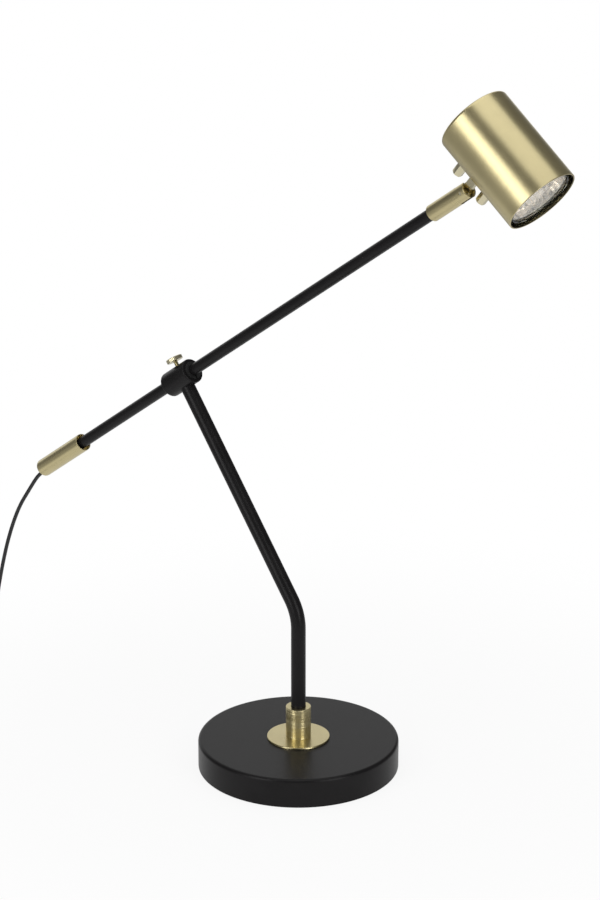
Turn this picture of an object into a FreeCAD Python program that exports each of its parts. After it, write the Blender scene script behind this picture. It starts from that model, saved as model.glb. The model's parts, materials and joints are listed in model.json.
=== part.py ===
import FreeCAD
import Part
import math
import os

# Counterweight balance desk lamp, in millimetres. The origin is the middle of the base's underside and
# +Z is up. Stem, arm and head lie in the XZ plane, with the head at +X and the handle at -X.

Vector = FreeCAD.Vector

# ---- base ----------------------------------------------------------------------------------------
base_diameter = 160.0
base_height = 24.0
base_edge_radius = 2.5
cover_wall = 1.2
cover_lift = 0.6                 # the cover's lower edge stands this far off the table
pad_margin = 5.0                 # from the cover's side to the pad's
pad_thickness = 1.5
weight_clearance = 0.3           # between the iron disc and the cover's wall
weight_web = 10.0                # iron left over the recess for the bolt
recess_diameter = 84.0
bolt_diameter = 10.0
bolt_hole_clearance = 0.3
bolt_head_width = 16.0
bolt_head_height = 6.4
bolt_engagement = 8.0
washer_diameter = 30.0
washer_thickness = 2.0

# ---- flange and collar on the base ---------------------------------------------------------------
flange_diameter = 50.0
flange_thickness = 1.5
flange_edge_radius = 0.5
collar_diameter = 20.0
collar_height = 25.3
collar_edge_radius = 0.5
collar_floor = 8.5               # the stem stands this far above the flange, inside the collar
grub_diameter = 4.0
grub_length = 4.0
grub_height = 16.0               # above the flange
grub_bearing = 135.0             # degrees round from +X, at the back
grub_socket = 2.0

# ---- stem ----------------------------------------------------------------------------------------
stem_diameter = 11.7
stem_wall = 1.5
stem_fit = 0.05                  # radial
bend_height = 130.2              # where the two straight parts would cross
bend_radius = 40.0
stem_lean = 35.5                 # degrees from upright, above the bend
stem_upper_length = 208.8        # from the bend's corner to the arm's axis

# ---- sleeve, bush and thumbscrew -----------------------------------------------------------------
sleeve_diameter = 20.2
sleeve_tail_reach = 16.7         # from the stem's axis to the sleeve's end at the handle
sleeve_head_reach = 13.0
sleeve_edge_radius = 1.0
bush_diameter = 12.0
bush_seat = 0.03                 # radial, bush in sleeve
bush_flange_diameter = 14.6
bush_flange = 0.8
bush_slit = 1.2
thumb_shank = 3.6
thumb_fit = 0.05                 # radial, shank in the sleeve's hole
thumb_tip_gap = 0.15             # between the screw's tip and the bush
thumb_neck = 3.8                 # bare shank between sleeve and head
thumb_head_diameter = 13.4
thumb_head = 3.1
thumb_flutes = 28
thumb_flute_radius = 0.45
thumb_edge_radius = 0.5

# ---- arm -----------------------------------------------------------------------------------------
arm_diameter = 9.2
arm_wall = 1.0
arm_fit = 0.05                   # radial, arm in bush
handle_from = 140.0              # from the sleeve's middle to the handle's mouth
handle_diameter = 14.7
handle_length = 59.5
handle_mouth_diameter = 13.0
handle_mouth_depth = 8.0
handle_land = 24.0               # length that grips the arm
handle_end_radius = 2.0
seat_fit = 0.01                  # radial, pressed seats
relief_diameter = 10.0
relief_fit = 0.05                # radial, the grommet turns in the handle
relief_length = 21.0             # inside the handle
relief_proud = 0.5
nose_length = 4.0
nose_root_diameter = 5.4
nose_offset = 2.5                # the cord leaves this far below the arm's axis
ferrule_from = 306.5             # from the sleeve's middle to the ferrule
ferrule_diameter = 12.9
ferrule_length = 40.5
ferrule_seat = 12.0
ferrule_web = 6.5
ferrule_bore = 10.2
ferrule_edge_radius = 0.4
slot_width = 4.6
slot_depth = 11.0
pin_diameter = 3.0
pin_from_mouth = 4.5
pin_recess = 0.35                # each end of the pin lies this far inside the ferrule
tongue_thickness = 4.2
tongue_width = 6.4
tongue_eye_diameter = 8.0
pin_fit = 0.05                   # radial, tongue on pin
tilt_washer_diameter = 5.0
tilt_washer_length = 1.85
tilt_washer_gap = 0.05

# ---- head ----------------------------------------------------------------------------------------
head_diameter = 57.0
head_length = 80.0
head_wall = 1.2
head_edge_radius = 2.0
mouth_edge_radius = 0.35
head_drop = 38.8                 # degrees below level, at rest
tongue_back = 10.2               # the tongue stands this far behind the head's middle
spacer_height = 2.0
spacer_diameter = 7.0
plate_thickness = 1.6
plate_width = 8.0
plate_length = 36.4
screw_spacing = 27.3
screw_diameter = 4.0
screw_fit = 0.1                  # radial
tongue_reach = 14.5              # from the plate's face to the pin
nut_width = 7.0
nut_height = 9.4
nut_bore_depth = 8.0
nut_edge = 0.5
screw_head_diameter = 7.0
screw_head_height = 2.2

# ---- lamp and its holder -------------------------------------------------------------------------
lamp_diameter = 50.0
lamp_rim = 4.0
lamp_length = 48.0
lamp_neck_diameter = 23.0
lamp_neck = 8.0
lamp_wall = 1.4
lamp_bulge = 3.0                 # the bowl's curve stands this far out of a straight cone
lens_step_height = 0.8
lens_thickness = 2.2
burner_diameter = 9.0
burner_length = 19.0
burner_seat = 9.0
lamp_pin_spacing = 10.0
lamp_pin_diameter = 3.2
lamp_pin_head_diameter = 5.0
lamp_pin_length = 7.0
lamp_pin_head = 2.4
holder_gap = 0.3
holder_diameter = 26.0
holder_length = 22.5
holder_hole_diameter = 5.8
holder_hole_depth = 8.5
bracket_thickness = 1.2
bracket_width = 10.0
bracket_upright_width = 14.0
bracket_below = 8.0              # the upright reaches this far past the head's axis
bracket_end = 5.0                # the foot reaches this far past the screw
bracket_back_space = 4.8         # between the head's closed end and the bracket
bracket_clear = 0.04
holder_screw_spacing = 9.0
holder_screw_diameter = 2.8
holder_screw_depth = 7.0
holder_screw_head_diameter = 5.0
holder_screw_head = 1.6

# ---- cord ----------------------------------------------------------------------------------------
cord_diameter = 3.2
lead_reach = 28.5                # the lead inside the arm ends this far past the ferrule's start
floor_lay = 7.0                  # height of the cord where switch and plug hold it up
cord_bearing = Vector(-0.3, -0.954, 0).normalize()
switch_inlet = Vector(-358.0, -46.0, floor_lay)
switch_length = 52.0
switch_width = 21.0
switch_height = 15.0
switch_split = 7.6
switch_corner_radius = 5.0
switch_edge_radius = 1.2
rocker_length = 13.0
rocker_width = 8.4
rocker_side_gap = 0.4
rocker_end_gap = 1.0             # the rocker's ends swing out
rocker_rise = 0.9
rocker_dip = 1.0
rocker_foot = 8.0
rocker_pivot_height = 10.6
rocker_pivot_diameter = 2.4
rocker_pivot_seat = 1.2
rocker_swing = 8.0               # degrees from level to either end
rocker_pocket = 3.0
coil_lift = 2.9                  # height of the lowest turns
coil_inner_radius = 14.3
coil_pitch = 4.3
coil_layer = 3.8
coil_halves = 6                  # half turns in a layer
coil_layers = 4
coil_early_climb = 0.13          # share of a climb made in its first quarter turn
coil_west = 50.0                 # from the switch's axis to the coil's middle
coil_north = 2.9                 # from the switch's outlet back to the coil's middle
tie_width = 4.0
tie_thickness = 0.8
tie_gap = 0.35
plug_length = 36.0
plug_width = 25.0
plug_throat = 12.0
plug_taper = 16.0                # the body is at its full width this far from the cord
plug_height = 13.4
plug_edge_radius = 2.5
plug_pin_diameter = 4.0
plug_pin_spacing = 18.6
plug_pin_length = 19.0
plug_pin_tip_radius = 1.0
plug_offset = 36.0               # from where the cord leaves the coil to the plug's axis

# ---- values that follow --------------------------------------------------------------------------
base_radius = base_diameter / 2
pad_radius = base_radius - pad_margin
cover_top = base_height
cover_inside = base_height - cover_wall
web_under = cover_inside - weight_web
bolt_hole_radius = bolt_diameter / 2 + bolt_hole_clearance
flange_top = cover_top + flange_thickness
collar_top = flange_top + collar_height
stem_bottom = flange_top + collar_floor
stem_radius = stem_diameter / 2
sleeve_radius = sleeve_diameter / 2
bush_radius = bush_diameter / 2
arm_radius = arm_diameter / 2
handle_to = handle_from + handle_length
relief_inner = handle_to - relief_length
ferrule_to = ferrule_from + ferrule_length
pin_at = ferrule_to - pin_from_mouth
head_radius = head_diameter / 2
head_half = head_length / 2
plate_face = head_radius + spacer_height + plate_thickness
pin_reach = plate_face + tongue_reach
cord_radius = cord_diameter / 2
middle_turn = 90.0
whole_turn = 360.0
ahead = 1.0                      # spare length of a cutting tool


class Frame:
    """A local frame turned about the Y axis: local Z leans from upright towards +X by the turn."""

    def __init__(self, origin, turn):
        self.placement = FreeCAD.Placement(origin, FreeCAD.Rotation(Vector(0, 1, 0), turn))

    def point(self, x, y, z):
        return self.placement.multVec(Vector(x, y, z))

    def place(self, shape):
        placed = shape.copy()
        placed.Placement = self.placement.multiply(placed.Placement)
        return placed


up = Vector(0, 0, 1)


def polar(length, degrees):
    """A vector in the XZ plane, leaning from upright towards -X."""
    angle = math.radians(degrees)
    return Vector(-length * math.sin(angle), 0, length * math.cos(angle))


bend_corner = Vector(0, 0, bend_height)
hub = bend_corner + polar(stem_upper_length, stem_lean)
STEM = Frame(hub, -stem_lean)
ARM = Frame(hub, middle_turn - stem_lean)
pin_point = ARM.point(0, 0, pin_at)
head_turn = middle_turn + head_drop
pin_in_head = Frame(Vector(), head_turn).point(pin_reach, 0, -tongue_back)
HEAD = Frame(pin_point - pin_in_head, head_turn)


# ---- shapes that repeat --------------------------------------------------------------------------
def rod(radius, low, high, x=0.0, y=0.0):
    """A solid cylinder along local Z."""
    return Part.makeCylinder(radius, high - low, Vector(x, y, low))


def ring(outer, inner, low, high):
    """A tube along local Z."""
    return rod(outer, low, high).cut(rod(inner, low - ahead, high + ahead))


def rod_along(radius, start, end):
    """A solid cylinder from one point to another."""
    reach = end - start
    return Part.makeCylinder(radius, reach.Length, start, reach)


def box(x_low, x_high, y_low, y_high, z_low, z_high):
    return Part.makeBox(x_high - x_low, y_high - y_low, z_high - z_low, Vector(x_low, y_low, z_low))


def rounded(shape, radius, heights, edge_radius=None):
    """Rounds the full circles that lie at the given heights along local Z."""
    near = 0.001
    edges = []
    for edge in shape.Edges:
        if not isinstance(edge.Curve, Part.Circle):
            continue
        level = any(abs(edge.Curve.Center.z - height) < near for height in heights)
        flat = abs(abs(edge.Curve.Axis.z) - 1) < near
        size = edge_radius is None or abs(edge.Curve.Radius - edge_radius) < near
        if level and flat and size:
            edges.append(edge)
    return shape.makeFillet(radius, edges)


def hexagon(width, start, direction, length, turn=0.0):
    """A six-sided bar of the given width across its flats."""
    corner = width / 2 / math.cos(math.radians(30))
    points = []
    for index in range(7):
        angle = math.radians(60 * index + turn)
        points.append(Vector(corner * math.cos(angle), corner * math.sin(angle), 0))
    bar = Part.Face(Part.makePolygon(points)).extrude(Vector(0, 0, length))
    bar.Placement = FreeCAD.Placement(start, FreeCAD.Rotation(Vector(0, 0, 1), direction))
    return bar


def joined(first, *others):
    shape = first
    for other in others:
        shape = shape.fuse(other)
    return shape.removeSplitter()


# ---- base ----------------------------------------------------------------------------------------
def base_cover():
    outside = rounded(rod(base_radius, cover_lift, cover_top), base_edge_radius, [cover_top])
    inside_edge = base_edge_radius - cover_wall
    inside = rod(base_radius - cover_wall, cover_lift - ahead, cover_inside)
    inside = rounded(inside, inside_edge, [cover_inside])
    return outside.cut(inside).cut(rod(bolt_hole_radius, 0, cover_top + ahead))


def base_weight():
    radius = base_radius - cover_wall - weight_clearance
    disc = rod(radius, pad_thickness, cover_inside)
    disc = rounded(disc, base_edge_radius - cover_wall + weight_clearance, [cover_inside])
    recess = rod(recess_diameter / 2, 0, web_under)
    return disc.cut(recess).cut(rod(bolt_hole_radius, 0, cover_top))


def base_pad():
    return rod(pad_radius, 0, pad_thickness)


def base_washer():
    return ring(washer_diameter / 2, bolt_hole_radius, web_under - washer_thickness, web_under)


def base_bolt():
    under = web_under - washer_thickness
    head = hexagon(bolt_head_width, up * (under - bolt_head_height), up, bolt_head_height)
    return joined(head, rod(bolt_diameter / 2, under, flange_top + bolt_engagement))


def flange_plate():
    disc = rounded(rod(flange_diameter / 2, cover_top, flange_top), flange_edge_radius, [flange_top])
    return disc.cut(rod(bolt_hole_radius, 0, flange_top + ahead))


def grub_ends():
    """The inner and outer end of the collar's grub screw."""
    angle = math.radians(grub_bearing)
    out = Vector(math.cos(angle), math.sin(angle), 0)
    centre = Vector(0, 0, flange_top + grub_height)
    return centre + out * stem_radius, centre + out * (stem_radius + grub_length), out


def stem_collar():
    body = rounded(rod(collar_diameter / 2, flange_top, collar_top), collar_edge_radius, [collar_top])
    body = body.cut(rod(bolt_diameter / 2, 0, stem_bottom))
    body = body.cut(rod(stem_radius + stem_fit, stem_bottom, collar_top + ahead))
    inner, outer, out = grub_ends()
    return body.cut(rod_along(grub_diameter / 2, inner, outer + out * collar_diameter))


def collar_grub_screw():
    inner, outer, out = grub_ends()
    socket = hexagon(grub_socket, outer - out * grub_socket, out, grub_socket + ahead)
    return rod_along(grub_diameter / 2, inner, outer).cut(socket)


def stem_path(radius, first_cut, last_cut):
    """A round bar that follows the stem's axis: upright, round the bend and up to the arm's axis."""
    lead = bend_radius * math.tan(math.radians(stem_lean / 2))
    lower = rod(radius, stem_bottom - first_cut, bend_height - lead)
    start = Vector(0, 0, bend_height - lead)
    disc = Part.Face(Part.Wire(Part.makeCircle(radius, start, Vector(0, 0, 1))))
    bend = disc.revolve(Vector(-bend_radius, 0, start.z), Vector(0, -1, 0), stem_lean)
    upper = STEM.place(rod(radius, lead - stem_upper_length, last_cut))
    return joined(lower, bend, upper)


def stem_tube():
    bar = stem_path(stem_radius, 0.0, 0.0)
    bore = stem_path(stem_radius - stem_wall, ahead, ahead)
    return bar.cut(bore).cut(ARM.place(rod(sleeve_radius, -sleeve_diameter, sleeve_diameter)))


# ---- sleeve, bush and thumbscrew -----------------------------------------------------------------
def arm_sleeve():
    ends = [-sleeve_tail_reach, sleeve_head_reach]
    body = rounded(rod(sleeve_radius, *ends), sleeve_edge_radius, ends)
    body = body.cut(rod(bush_radius + bush_seat, -sleeve_tail_reach - ahead, sleeve_head_reach + ahead))
    hole = rod(thumb_shank / 2 + thumb_fit, 0, sleeve_diameter)
    return ARM.place(body).cut(STEM.place(hole))


def sleeve_bush():
    body = rod(bush_radius, -sleeve_tail_reach, sleeve_head_reach)
    for low in (-sleeve_tail_reach - bush_flange, sleeve_head_reach):
        body = joined(body, rod(bush_flange_diameter / 2, low, low + bush_flange))
    past = [-sleeve_tail_reach - bush_diameter, sleeve_head_reach + bush_diameter]
    body = body.cut(rod(arm_radius + arm_fit, *past))
    slit = box(0, bush_diameter, -bush_slit / 2, bush_slit / 2, *past)
    return ARM.place(body.cut(slit))


def thumbscrew():
    under = sleeve_radius + thumb_neck
    head = rod(thumb_head_diameter / 2, under, under + thumb_head)
    head = rounded(head, thumb_edge_radius, [under, under + thumb_head])
    for index in range(thumb_flutes):
        angle = math.radians(whole_turn * index / thumb_flutes)
        reach = thumb_head_diameter / 2
        flute = rod(thumb_flute_radius, under - ahead, under + thumb_head + ahead,
                    reach * math.cos(angle), reach * math.sin(angle))
        head = head.cut(flute)
    shank = rod(thumb_shank / 2, bush_radius + thumb_tip_gap, under + ahead)
    return STEM.place(joined(head, shank))


# ---- arm -----------------------------------------------------------------------------------------
arm_tail = handle_from + handle_mouth_depth + handle_land


def arm_tube():
    return ARM.place(ring(arm_radius, arm_radius - arm_wall, -arm_tail, ferrule_from + ferrule_seat))


def counterweight_handle():
    body = rounded(rod(handle_diameter / 2, -handle_to, -handle_from), handle_end_radius, [-handle_to])
    body = rounded(body, mouth_edge_radius, [-handle_from])
    mouth_floor = -handle_from - handle_mouth_depth
    body = body.cut(rod(handle_mouth_diameter / 2, mouth_floor, -handle_from + ahead))
    body = body.cut(rod(arm_radius + seat_fit, -arm_tail, mouth_floor))
    body = body.cut(rod(arm_radius - arm_wall, -handle_to, -arm_tail))
    body = body.cut(rod(relief_diameter / 2 + relief_fit, -handle_to - ahead, -relief_inner))
    return ARM.place(body)


def tail_relief():
    face = -handle_to - relief_proud
    plug = rod(relief_diameter / 2, face, -relief_inner - relief_fit)
    nose = Part.makeCone(nose_root_diameter / 2, cord_radius, nose_length,
                         Vector(nose_offset, 0, face), Vector(0, 0, -1))
    return ARM.place(joined(plug, nose))


cord_exit = ARM.point(nose_offset, 0, -handle_to - relief_proud - nose_length)


def inner_lead():
    return ARM.place(rod(cord_radius, relief_fit - relief_inner, ferrule_from + lead_reach))


def across_arm(radius, low, high):
    """A round bar along local Y, on the head's hinge line."""
    return rod_along(radius, Vector(0, low, pin_at), Vector(0, high, pin_at))


def arm_ferrule():
    body = rod(ferrule_diameter / 2, ferrule_from, ferrule_to)
    body = rounded(body, ferrule_edge_radius, [ferrule_from, ferrule_to])
    seat_top = ferrule_from + ferrule_seat
    body = body.cut(rod(arm_radius + seat_fit, ferrule_from - ahead, seat_top))
    body = body.cut(rod(arm_radius - arm_wall, ferrule_from, ferrule_to))
    body = body.cut(rod(ferrule_bore / 2, seat_top + ferrule_web, ferrule_to + ahead))
    slot = box(-ferrule_diameter, ferrule_diameter, -slot_width / 2, slot_width / 2,
               ferrule_to - slot_depth, ferrule_to + ahead)
    body = body.cut(slot)
    return ARM.place(body.cut(across_arm(pin_diameter / 2, -ferrule_diameter, ferrule_diameter)))


def tilt_pin():
    reach = ferrule_diameter / 2 - pin_recess
    return ARM.place(across_arm(pin_diameter / 2, -reach, reach))


def tilt_washers():
    inner = tongue_thickness / 2 + tilt_washer_gap
    rings = []
    for side in (-1, 1):
        outer = inner + tilt_washer_length
        disc = across_arm(tilt_washer_diameter / 2, side * inner, side * outer)
        rings.append(disc.cut(across_arm(pin_diameter / 2 + seat_fit, side * inner, side * outer)))
    return ARM.place(Part.Compound(rings))


# ---- head ----------------------------------------------------------------------------------------
def screw_places():
    """The two screws' places along the head."""
    return [-tongue_back - screw_spacing / 2, -tongue_back + screw_spacing / 2]


def across_head(radius, low, high, z):
    """A round bar out of the head's side, along local X."""
    return rod_along(radius, Vector(low, 0, z), Vector(high, 0, z))


def swivel_tongue():
    half = tongue_thickness / 2
    side = tongue_width / 2
    near = Vector(pin_reach, -half, -tongue_back)
    far = Vector(pin_reach, half, -tongue_back)
    eye = rod_along(tongue_eye_diameter / 2, near, far)
    bar = box(plate_face, pin_reach, -half, half, -tongue_back - side, -tongue_back + side)
    return HEAD.place(joined(eye, bar).cut(rod_along(pin_diameter / 2 + pin_fit, near, far)))


def head_plate():
    low = plate_face - plate_thickness
    end_radius = plate_width / 2
    run = plate_length / 2 - end_radius
    body = box(low, plate_face, -end_radius, end_radius, -tongue_back - run, -tongue_back + run)
    for z in (-tongue_back - run, -tongue_back + run):
        body = joined(body, across_head(end_radius, low, plate_face, z))
    for z in screw_places():
        body = body.cut(across_head(screw_diameter / 2 + screw_fit, 0, pin_reach, z))
    return HEAD.place(body)


def plate_spacers():
    inside = rod(head_radius, -head_length, head_length)
    rings = []
    for z in screw_places():
        disc = across_head(spacer_diameter / 2, head_radius - spacer_height, head_radius + spacer_height, z)
        disc = disc.cut(across_head(screw_diameter / 2 + screw_fit, 0, pin_reach, z))
        rings.append(disc.cut(inside))
    return HEAD.place(Part.Compound(rings))


def plate_nuts():
    nuts = []
    for z in screw_places():
        bar = hexagon(nut_width, Vector(plate_face, 0, z), Vector(1, 0, 0), nut_height)
        corner = nut_width / 2 / math.cos(math.radians(30))
        trim = Part.makeCone(corner + nut_height - nut_edge, corner - nut_edge, nut_height,
                             Vector(plate_face, 0, z), Vector(1, 0, 0))
        bore = across_head(screw_diameter / 2, plate_face - ahead, plate_face + nut_bore_depth, z)
        nuts.append(bar.common(trim).cut(bore))
    return HEAD.place(Part.Compound(nuts))


bracket_outer = math.sqrt((head_radius - head_wall) ** 2 - (bracket_width / 2) ** 2) - bracket_clear
bracket_inner = bracket_outer - bracket_thickness
bracket_back = head_wall + bracket_back_space - head_half
holder_back = bracket_back + bracket_thickness
holder_front = holder_back + holder_length
lamp_shoulder = holder_front + holder_gap
lamp_face = lamp_shoulder + lamp_length


def plate_screws():
    screws = []
    for z in screw_places():
        head = across_head(screw_head_diameter / 2, bracket_inner - screw_head_height, bracket_inner, z)
        shank = across_head(screw_diameter / 2, bracket_inner, plate_face + nut_bore_depth - seat_fit, z)
        screws.append(joined(head, shank))
    return HEAD.place(Part.Compound(screws))


def head_shell():
    outside = rounded(rod(head_radius, -head_half, head_half), head_edge_radius, [-head_half])
    inside = rod(head_radius - head_wall, head_wall - head_half, head_half + ahead)
    inside = rounded(inside, head_edge_radius - head_wall, [head_wall - head_half])
    shell = rounded(outside.cut(inside), mouth_edge_radius, [head_half])
    for z in screw_places():
        shell = shell.cut(across_head(screw_diameter / 2 + screw_fit, 0, pin_reach, z))
    return HEAD.place(shell)


def holder_bracket():
    half = bracket_width / 2
    upright_half = bracket_upright_width / 2
    foot_end = screw_places()[1] + bracket_end
    foot = box(bracket_inner, bracket_outer, -half, half, bracket_back, foot_end)
    upright = box(-bracket_below, bracket_inner, -upright_half, upright_half, bracket_back, holder_back)
    body = joined(foot, upright)
    for z in screw_places():
        body = body.cut(across_head(screw_diameter / 2 + screw_fit, 0, pin_reach, z))
    hole_radius = holder_screw_diameter / 2 + seat_fit
    for x in (-holder_screw_spacing / 2, holder_screw_spacing / 2):
        body = body.cut(rod(hole_radius, bracket_back - ahead, holder_back + ahead, x))
    return HEAD.place(body)


def lamp_holder():
    body = rounded(rod(holder_diameter / 2, holder_back, holder_front), ferrule_edge_radius, [holder_front])
    hole_floor = holder_front - holder_hole_depth
    for y in (-lamp_pin_spacing / 2, lamp_pin_spacing / 2):
        body = body.cut(rod(holder_hole_diameter / 2, hole_floor, holder_front + ahead, 0, y))
    screw_floor = holder_back + holder_screw_depth
    for x in (-holder_screw_spacing / 2, holder_screw_spacing / 2):
        body = body.cut(rod(holder_screw_diameter / 2, holder_back - ahead, screw_floor, x))
    return HEAD.place(body)


def holder_screws():
    screws = []
    for x in (-holder_screw_spacing / 2, holder_screw_spacing / 2):
        head = rod(holder_screw_head_diameter / 2, bracket_back - holder_screw_head, bracket_back, x)
        shank = rod(holder_screw_diameter / 2, bracket_back, holder_back + holder_screw_depth, x)
        screws.append(joined(head, shank))
    return HEAD.place(Part.Compound(screws))


def bowl(radius, neck_radius, top, rim, shoulder, bottom):
    """A solid bulb: a straight rim, a curved bowl and a straight neck, turned about local Z."""
    rim_point = Vector(radius, 0, top - rim)
    neck_point = Vector(neck_radius, 0, shoulder)
    outward = Vector(rim_point.z - neck_point.z, 0, neck_point.x - rim_point.x).normalize()
    middle = (rim_point + neck_point) * 0.5 + outward * lamp_bulge
    edges = [Part.makeLine(Vector(0, 0, top), Vector(radius, 0, top)),
             Part.makeLine(Vector(radius, 0, top), rim_point),
             Part.Arc(rim_point, middle, neck_point).toShape(),
             Part.makeLine(neck_point, Vector(neck_radius, 0, bottom)),
             Part.makeLine(Vector(neck_radius, 0, bottom), Vector(0, 0, bottom)),
             Part.makeLine(Vector(0, 0, bottom), Vector(0, 0, top))]
    return Part.Face(Part.Wire(edges)).revolve(Vector(0, 0, 0), Vector(0, 0, 1), whole_turn)


def lamp_reflector():
    radius = lamp_diameter / 2
    neck = lamp_neck_diameter / 2
    shoulder = lamp_shoulder + lamp_neck
    outside = bowl(radius, neck, lamp_face, lamp_rim, shoulder, lamp_shoulder)
    inside = bowl(radius - lamp_wall, neck - lamp_wall, lamp_face + ahead, lamp_rim + ahead,
                  shoulder + lamp_wall, lamp_shoulder + burner_seat)
    return HEAD.place(outside.cut(inside))


def lamp_lens():
    radius = lamp_diameter / 2 - lamp_wall - seat_fit
    top = lamp_face - lens_step_height
    return HEAD.place(rounded(rod(radius, top - lens_thickness, top), lens_step_height / 2, [top]))


def lamp_burner():
    low = lamp_shoulder + burner_seat
    radius = burner_diameter / 2
    body = rod(radius, low, low + burner_length - radius)
    dome = Part.makeSphere(radius, Vector(0, 0, low + burner_length - radius))
    return HEAD.place(joined(body, dome))


def lamp_pins():
    pins = []
    for y in (-lamp_pin_spacing / 2, lamp_pin_spacing / 2):
        low = lamp_shoulder - lamp_pin_length
        foot = rod(lamp_pin_head_diameter / 2, low, low + lamp_pin_head, 0, y)
        pins.append(joined(foot, rod(lamp_pin_diameter / 2, low + lamp_pin_head, lamp_shoulder, 0, y)))
    return HEAD.place(Part.Compound(pins))


# ---- cord ----------------------------------------------------------------------------------------
cord_side = up.cross(cord_bearing) * -1          # to the right of the way the cord runs
switch_outlet = switch_inlet + cord_bearing * switch_length
coil_outer_radius = coil_inner_radius + (coil_halves - 1) * coil_pitch / 2
coil_centre = switch_outlet + cord_side * coil_west - cord_bearing * coil_north
coil_centre.z = coil_lift
drop_points = [
    cord_exit,
    cord_exit + ARM.placement.Rotation.multVec(Vector(0, 0, -5.5)),
    Vector(-301.5, 0.0, 161.0),
    Vector(-315.0, -0.5, 141.5),
    Vector(-327.0, -1.5, 113.0),
    Vector(-335.0, -3.0, 84.0),
    Vector(-340.5, -5.0, 55.0),
    Vector(-344.5, -9.5, 29.0),
    Vector(-349.0, -19.0, 11.5),
    switch_inlet - cord_bearing * 13.0,
    switch_inlet,
]


def coil_point(along, across, height):
    """A point from the coil's middle: along the cord's bearing, across to its right, and up."""
    return coil_centre + cord_bearing * along + cord_side * across + up * height


coil_start = coil_point(coil_outer_radius + coil_pitch / 4, 0, 0)
link_end = coil_start - cord_side * cord_diameter
link_points = [
    switch_outlet,
    switch_outlet + cord_bearing * 9.5,
    switch_outlet + cord_bearing * 18.0 + cord_side * 4.9 - up * 0.8,
    switch_outlet + cord_bearing * 23.0 + cord_side * 13.4 - up * 2.0,
    switch_outlet + cord_bearing * 24.3 + cord_side * 28.0 - up * 3.4,
    link_end - cord_side * 9.0,
    link_end,
]


def arc_turn(before, corner, after):
    """The turn at a corner in radians, and the radius of its arc."""
    first = corner - before
    second = after - corner
    turn = first.getAngle(second)
    reach = 0.45 * min(first.Length, second.Length)
    return turn, reach / math.tan(turn / 2), reach


def run_and_arc(points):
    """Straight runs through the points, joined by tangent arcs. Also gives the arcs' radii."""
    edges = []
    radii = []
    last = points[0]
    for before, corner, after in zip(points, points[1:], points[2:]):
        turn, radius, reach = arc_turn(before, corner, after)
        radii.append(radius)
        first = (before - corner).normalize()
        second = (after - corner).normalize()
        enter = corner + first * reach
        leave = corner + second * reach
        inward = (first + second).normalize()
        middle = corner + inward * (radius / math.cos(turn / 2) - radius)
        edges.append(Part.makeLine(last, enter))
        edges.append(Part.Arc(enter, middle, leave).toShape())
        last = leave
    edges.append(Part.makeLine(last, points[-1]))
    return Part.Wire(edges), radii


def swept(wire, diameter, start, direction):
    """A round tube along a wire."""
    shell = Part.BRepOffsetAPI.MakePipeShell(wire)
    shell.add(Part.Wire(Part.makeCircle(diameter / 2, start, direction)))
    shell.build()
    shell.makeSolid()
    return shell.shape()


def free_stretch(name, points):
    """A free stretch of cord. Prints its radii, its length and how well its volume agrees."""
    wire, radii = run_and_arc(points)
    solid = swept(wire, cord_diameter, points[0], points[1] - points[0])
    share = solid.Volume / (math.pi * cord_radius ** 2 * wire.Length)
    print(name, "length %.1f" % wire.Length, "volume share %.4f" % share,
          "radii", " ".join("%.1f" % radius for radius in radii))
    return solid


def tangent_arc_middle(start, way, end):
    """The middle point of the arc that leaves the start in a given direction and reaches the end."""
    chord = end - start
    normal = (chord - way * chord.dot(way)).normalize()
    radius = chord.dot(chord) / (2 * chord.dot(normal))
    centre = start + normal * radius
    return centre + ((start + end) * 0.5 - centre).normalize() * radius


def biarc(start, start_way, end, end_way):
    """Two tangent arcs between two points with given directions."""
    chord = end - start
    ways = start_way + end_way
    spread = 2 * (1 - start_way.dot(end_way))
    reach = (math.sqrt(chord.dot(ways) ** 2 + spread * chord.dot(chord)) - chord.dot(ways)) / spread
    knee = (start + end + (start_way - end_way) * reach) * 0.5
    first = tangent_arc_middle(start, start_way, knee)
    second = tangent_arc_middle(end, end_way * -1, knee)
    return [Part.Arc(start, first, knee).toShape(), Part.Arc(knee, second, end).toShape()]


def coil_crossings():
    """The coil's half turns end here: each one's distance from the coil's middle, and its layer."""
    farthest = coil_outer_radius + coil_pitch / 4
    inward = [farthest - coil_pitch / 2 * half_turn for half_turn in range(coil_halves + 1)]
    crossings = []
    for layer in range(coil_layers):
        order = inward if layer % 2 == 0 else inward[::-1]
        crossings.extend((distance, layer) for distance in order[:-1])
    return crossings


def coil_wire():
    """The coil's centre line: half turns in and out again, each layer over the last."""
    crossings = coil_crossings()
    edges = [Part.makeLine(link_end, coil_start)]
    side = 1
    for first, second in zip(crossings, crossings[1:]):
        radius = (first[0] + second[0]) / 2
        middle = side * (first[0] - second[0]) / 2
        low = first[1] * coil_layer
        climb = second[1] * coil_layer - low
        start = coil_point(side * first[0], 0, low)
        end = coil_point(-side * second[0], 0, low + climb)
        way = cord_side * side
        if climb == 0:
            edges.append(Part.Arc(start, coil_point(middle, side * radius, low), end).toShape())
        else:
            early = climb * coil_early_climb
            knee = coil_point(middle, side * radius, low + early)
            knee_way = (cord_bearing * -side * math.pi * radius + up * early * 4).normalize()
            edges.extend(biarc(start, way, knee, knee_way))
            edges.extend(biarc(knee, knee_way, end, way * -1))
        side = -side
    edges.append(Part.makeLine(end, end - way * cord_diameter))
    return Part.Wire(edges)


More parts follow.
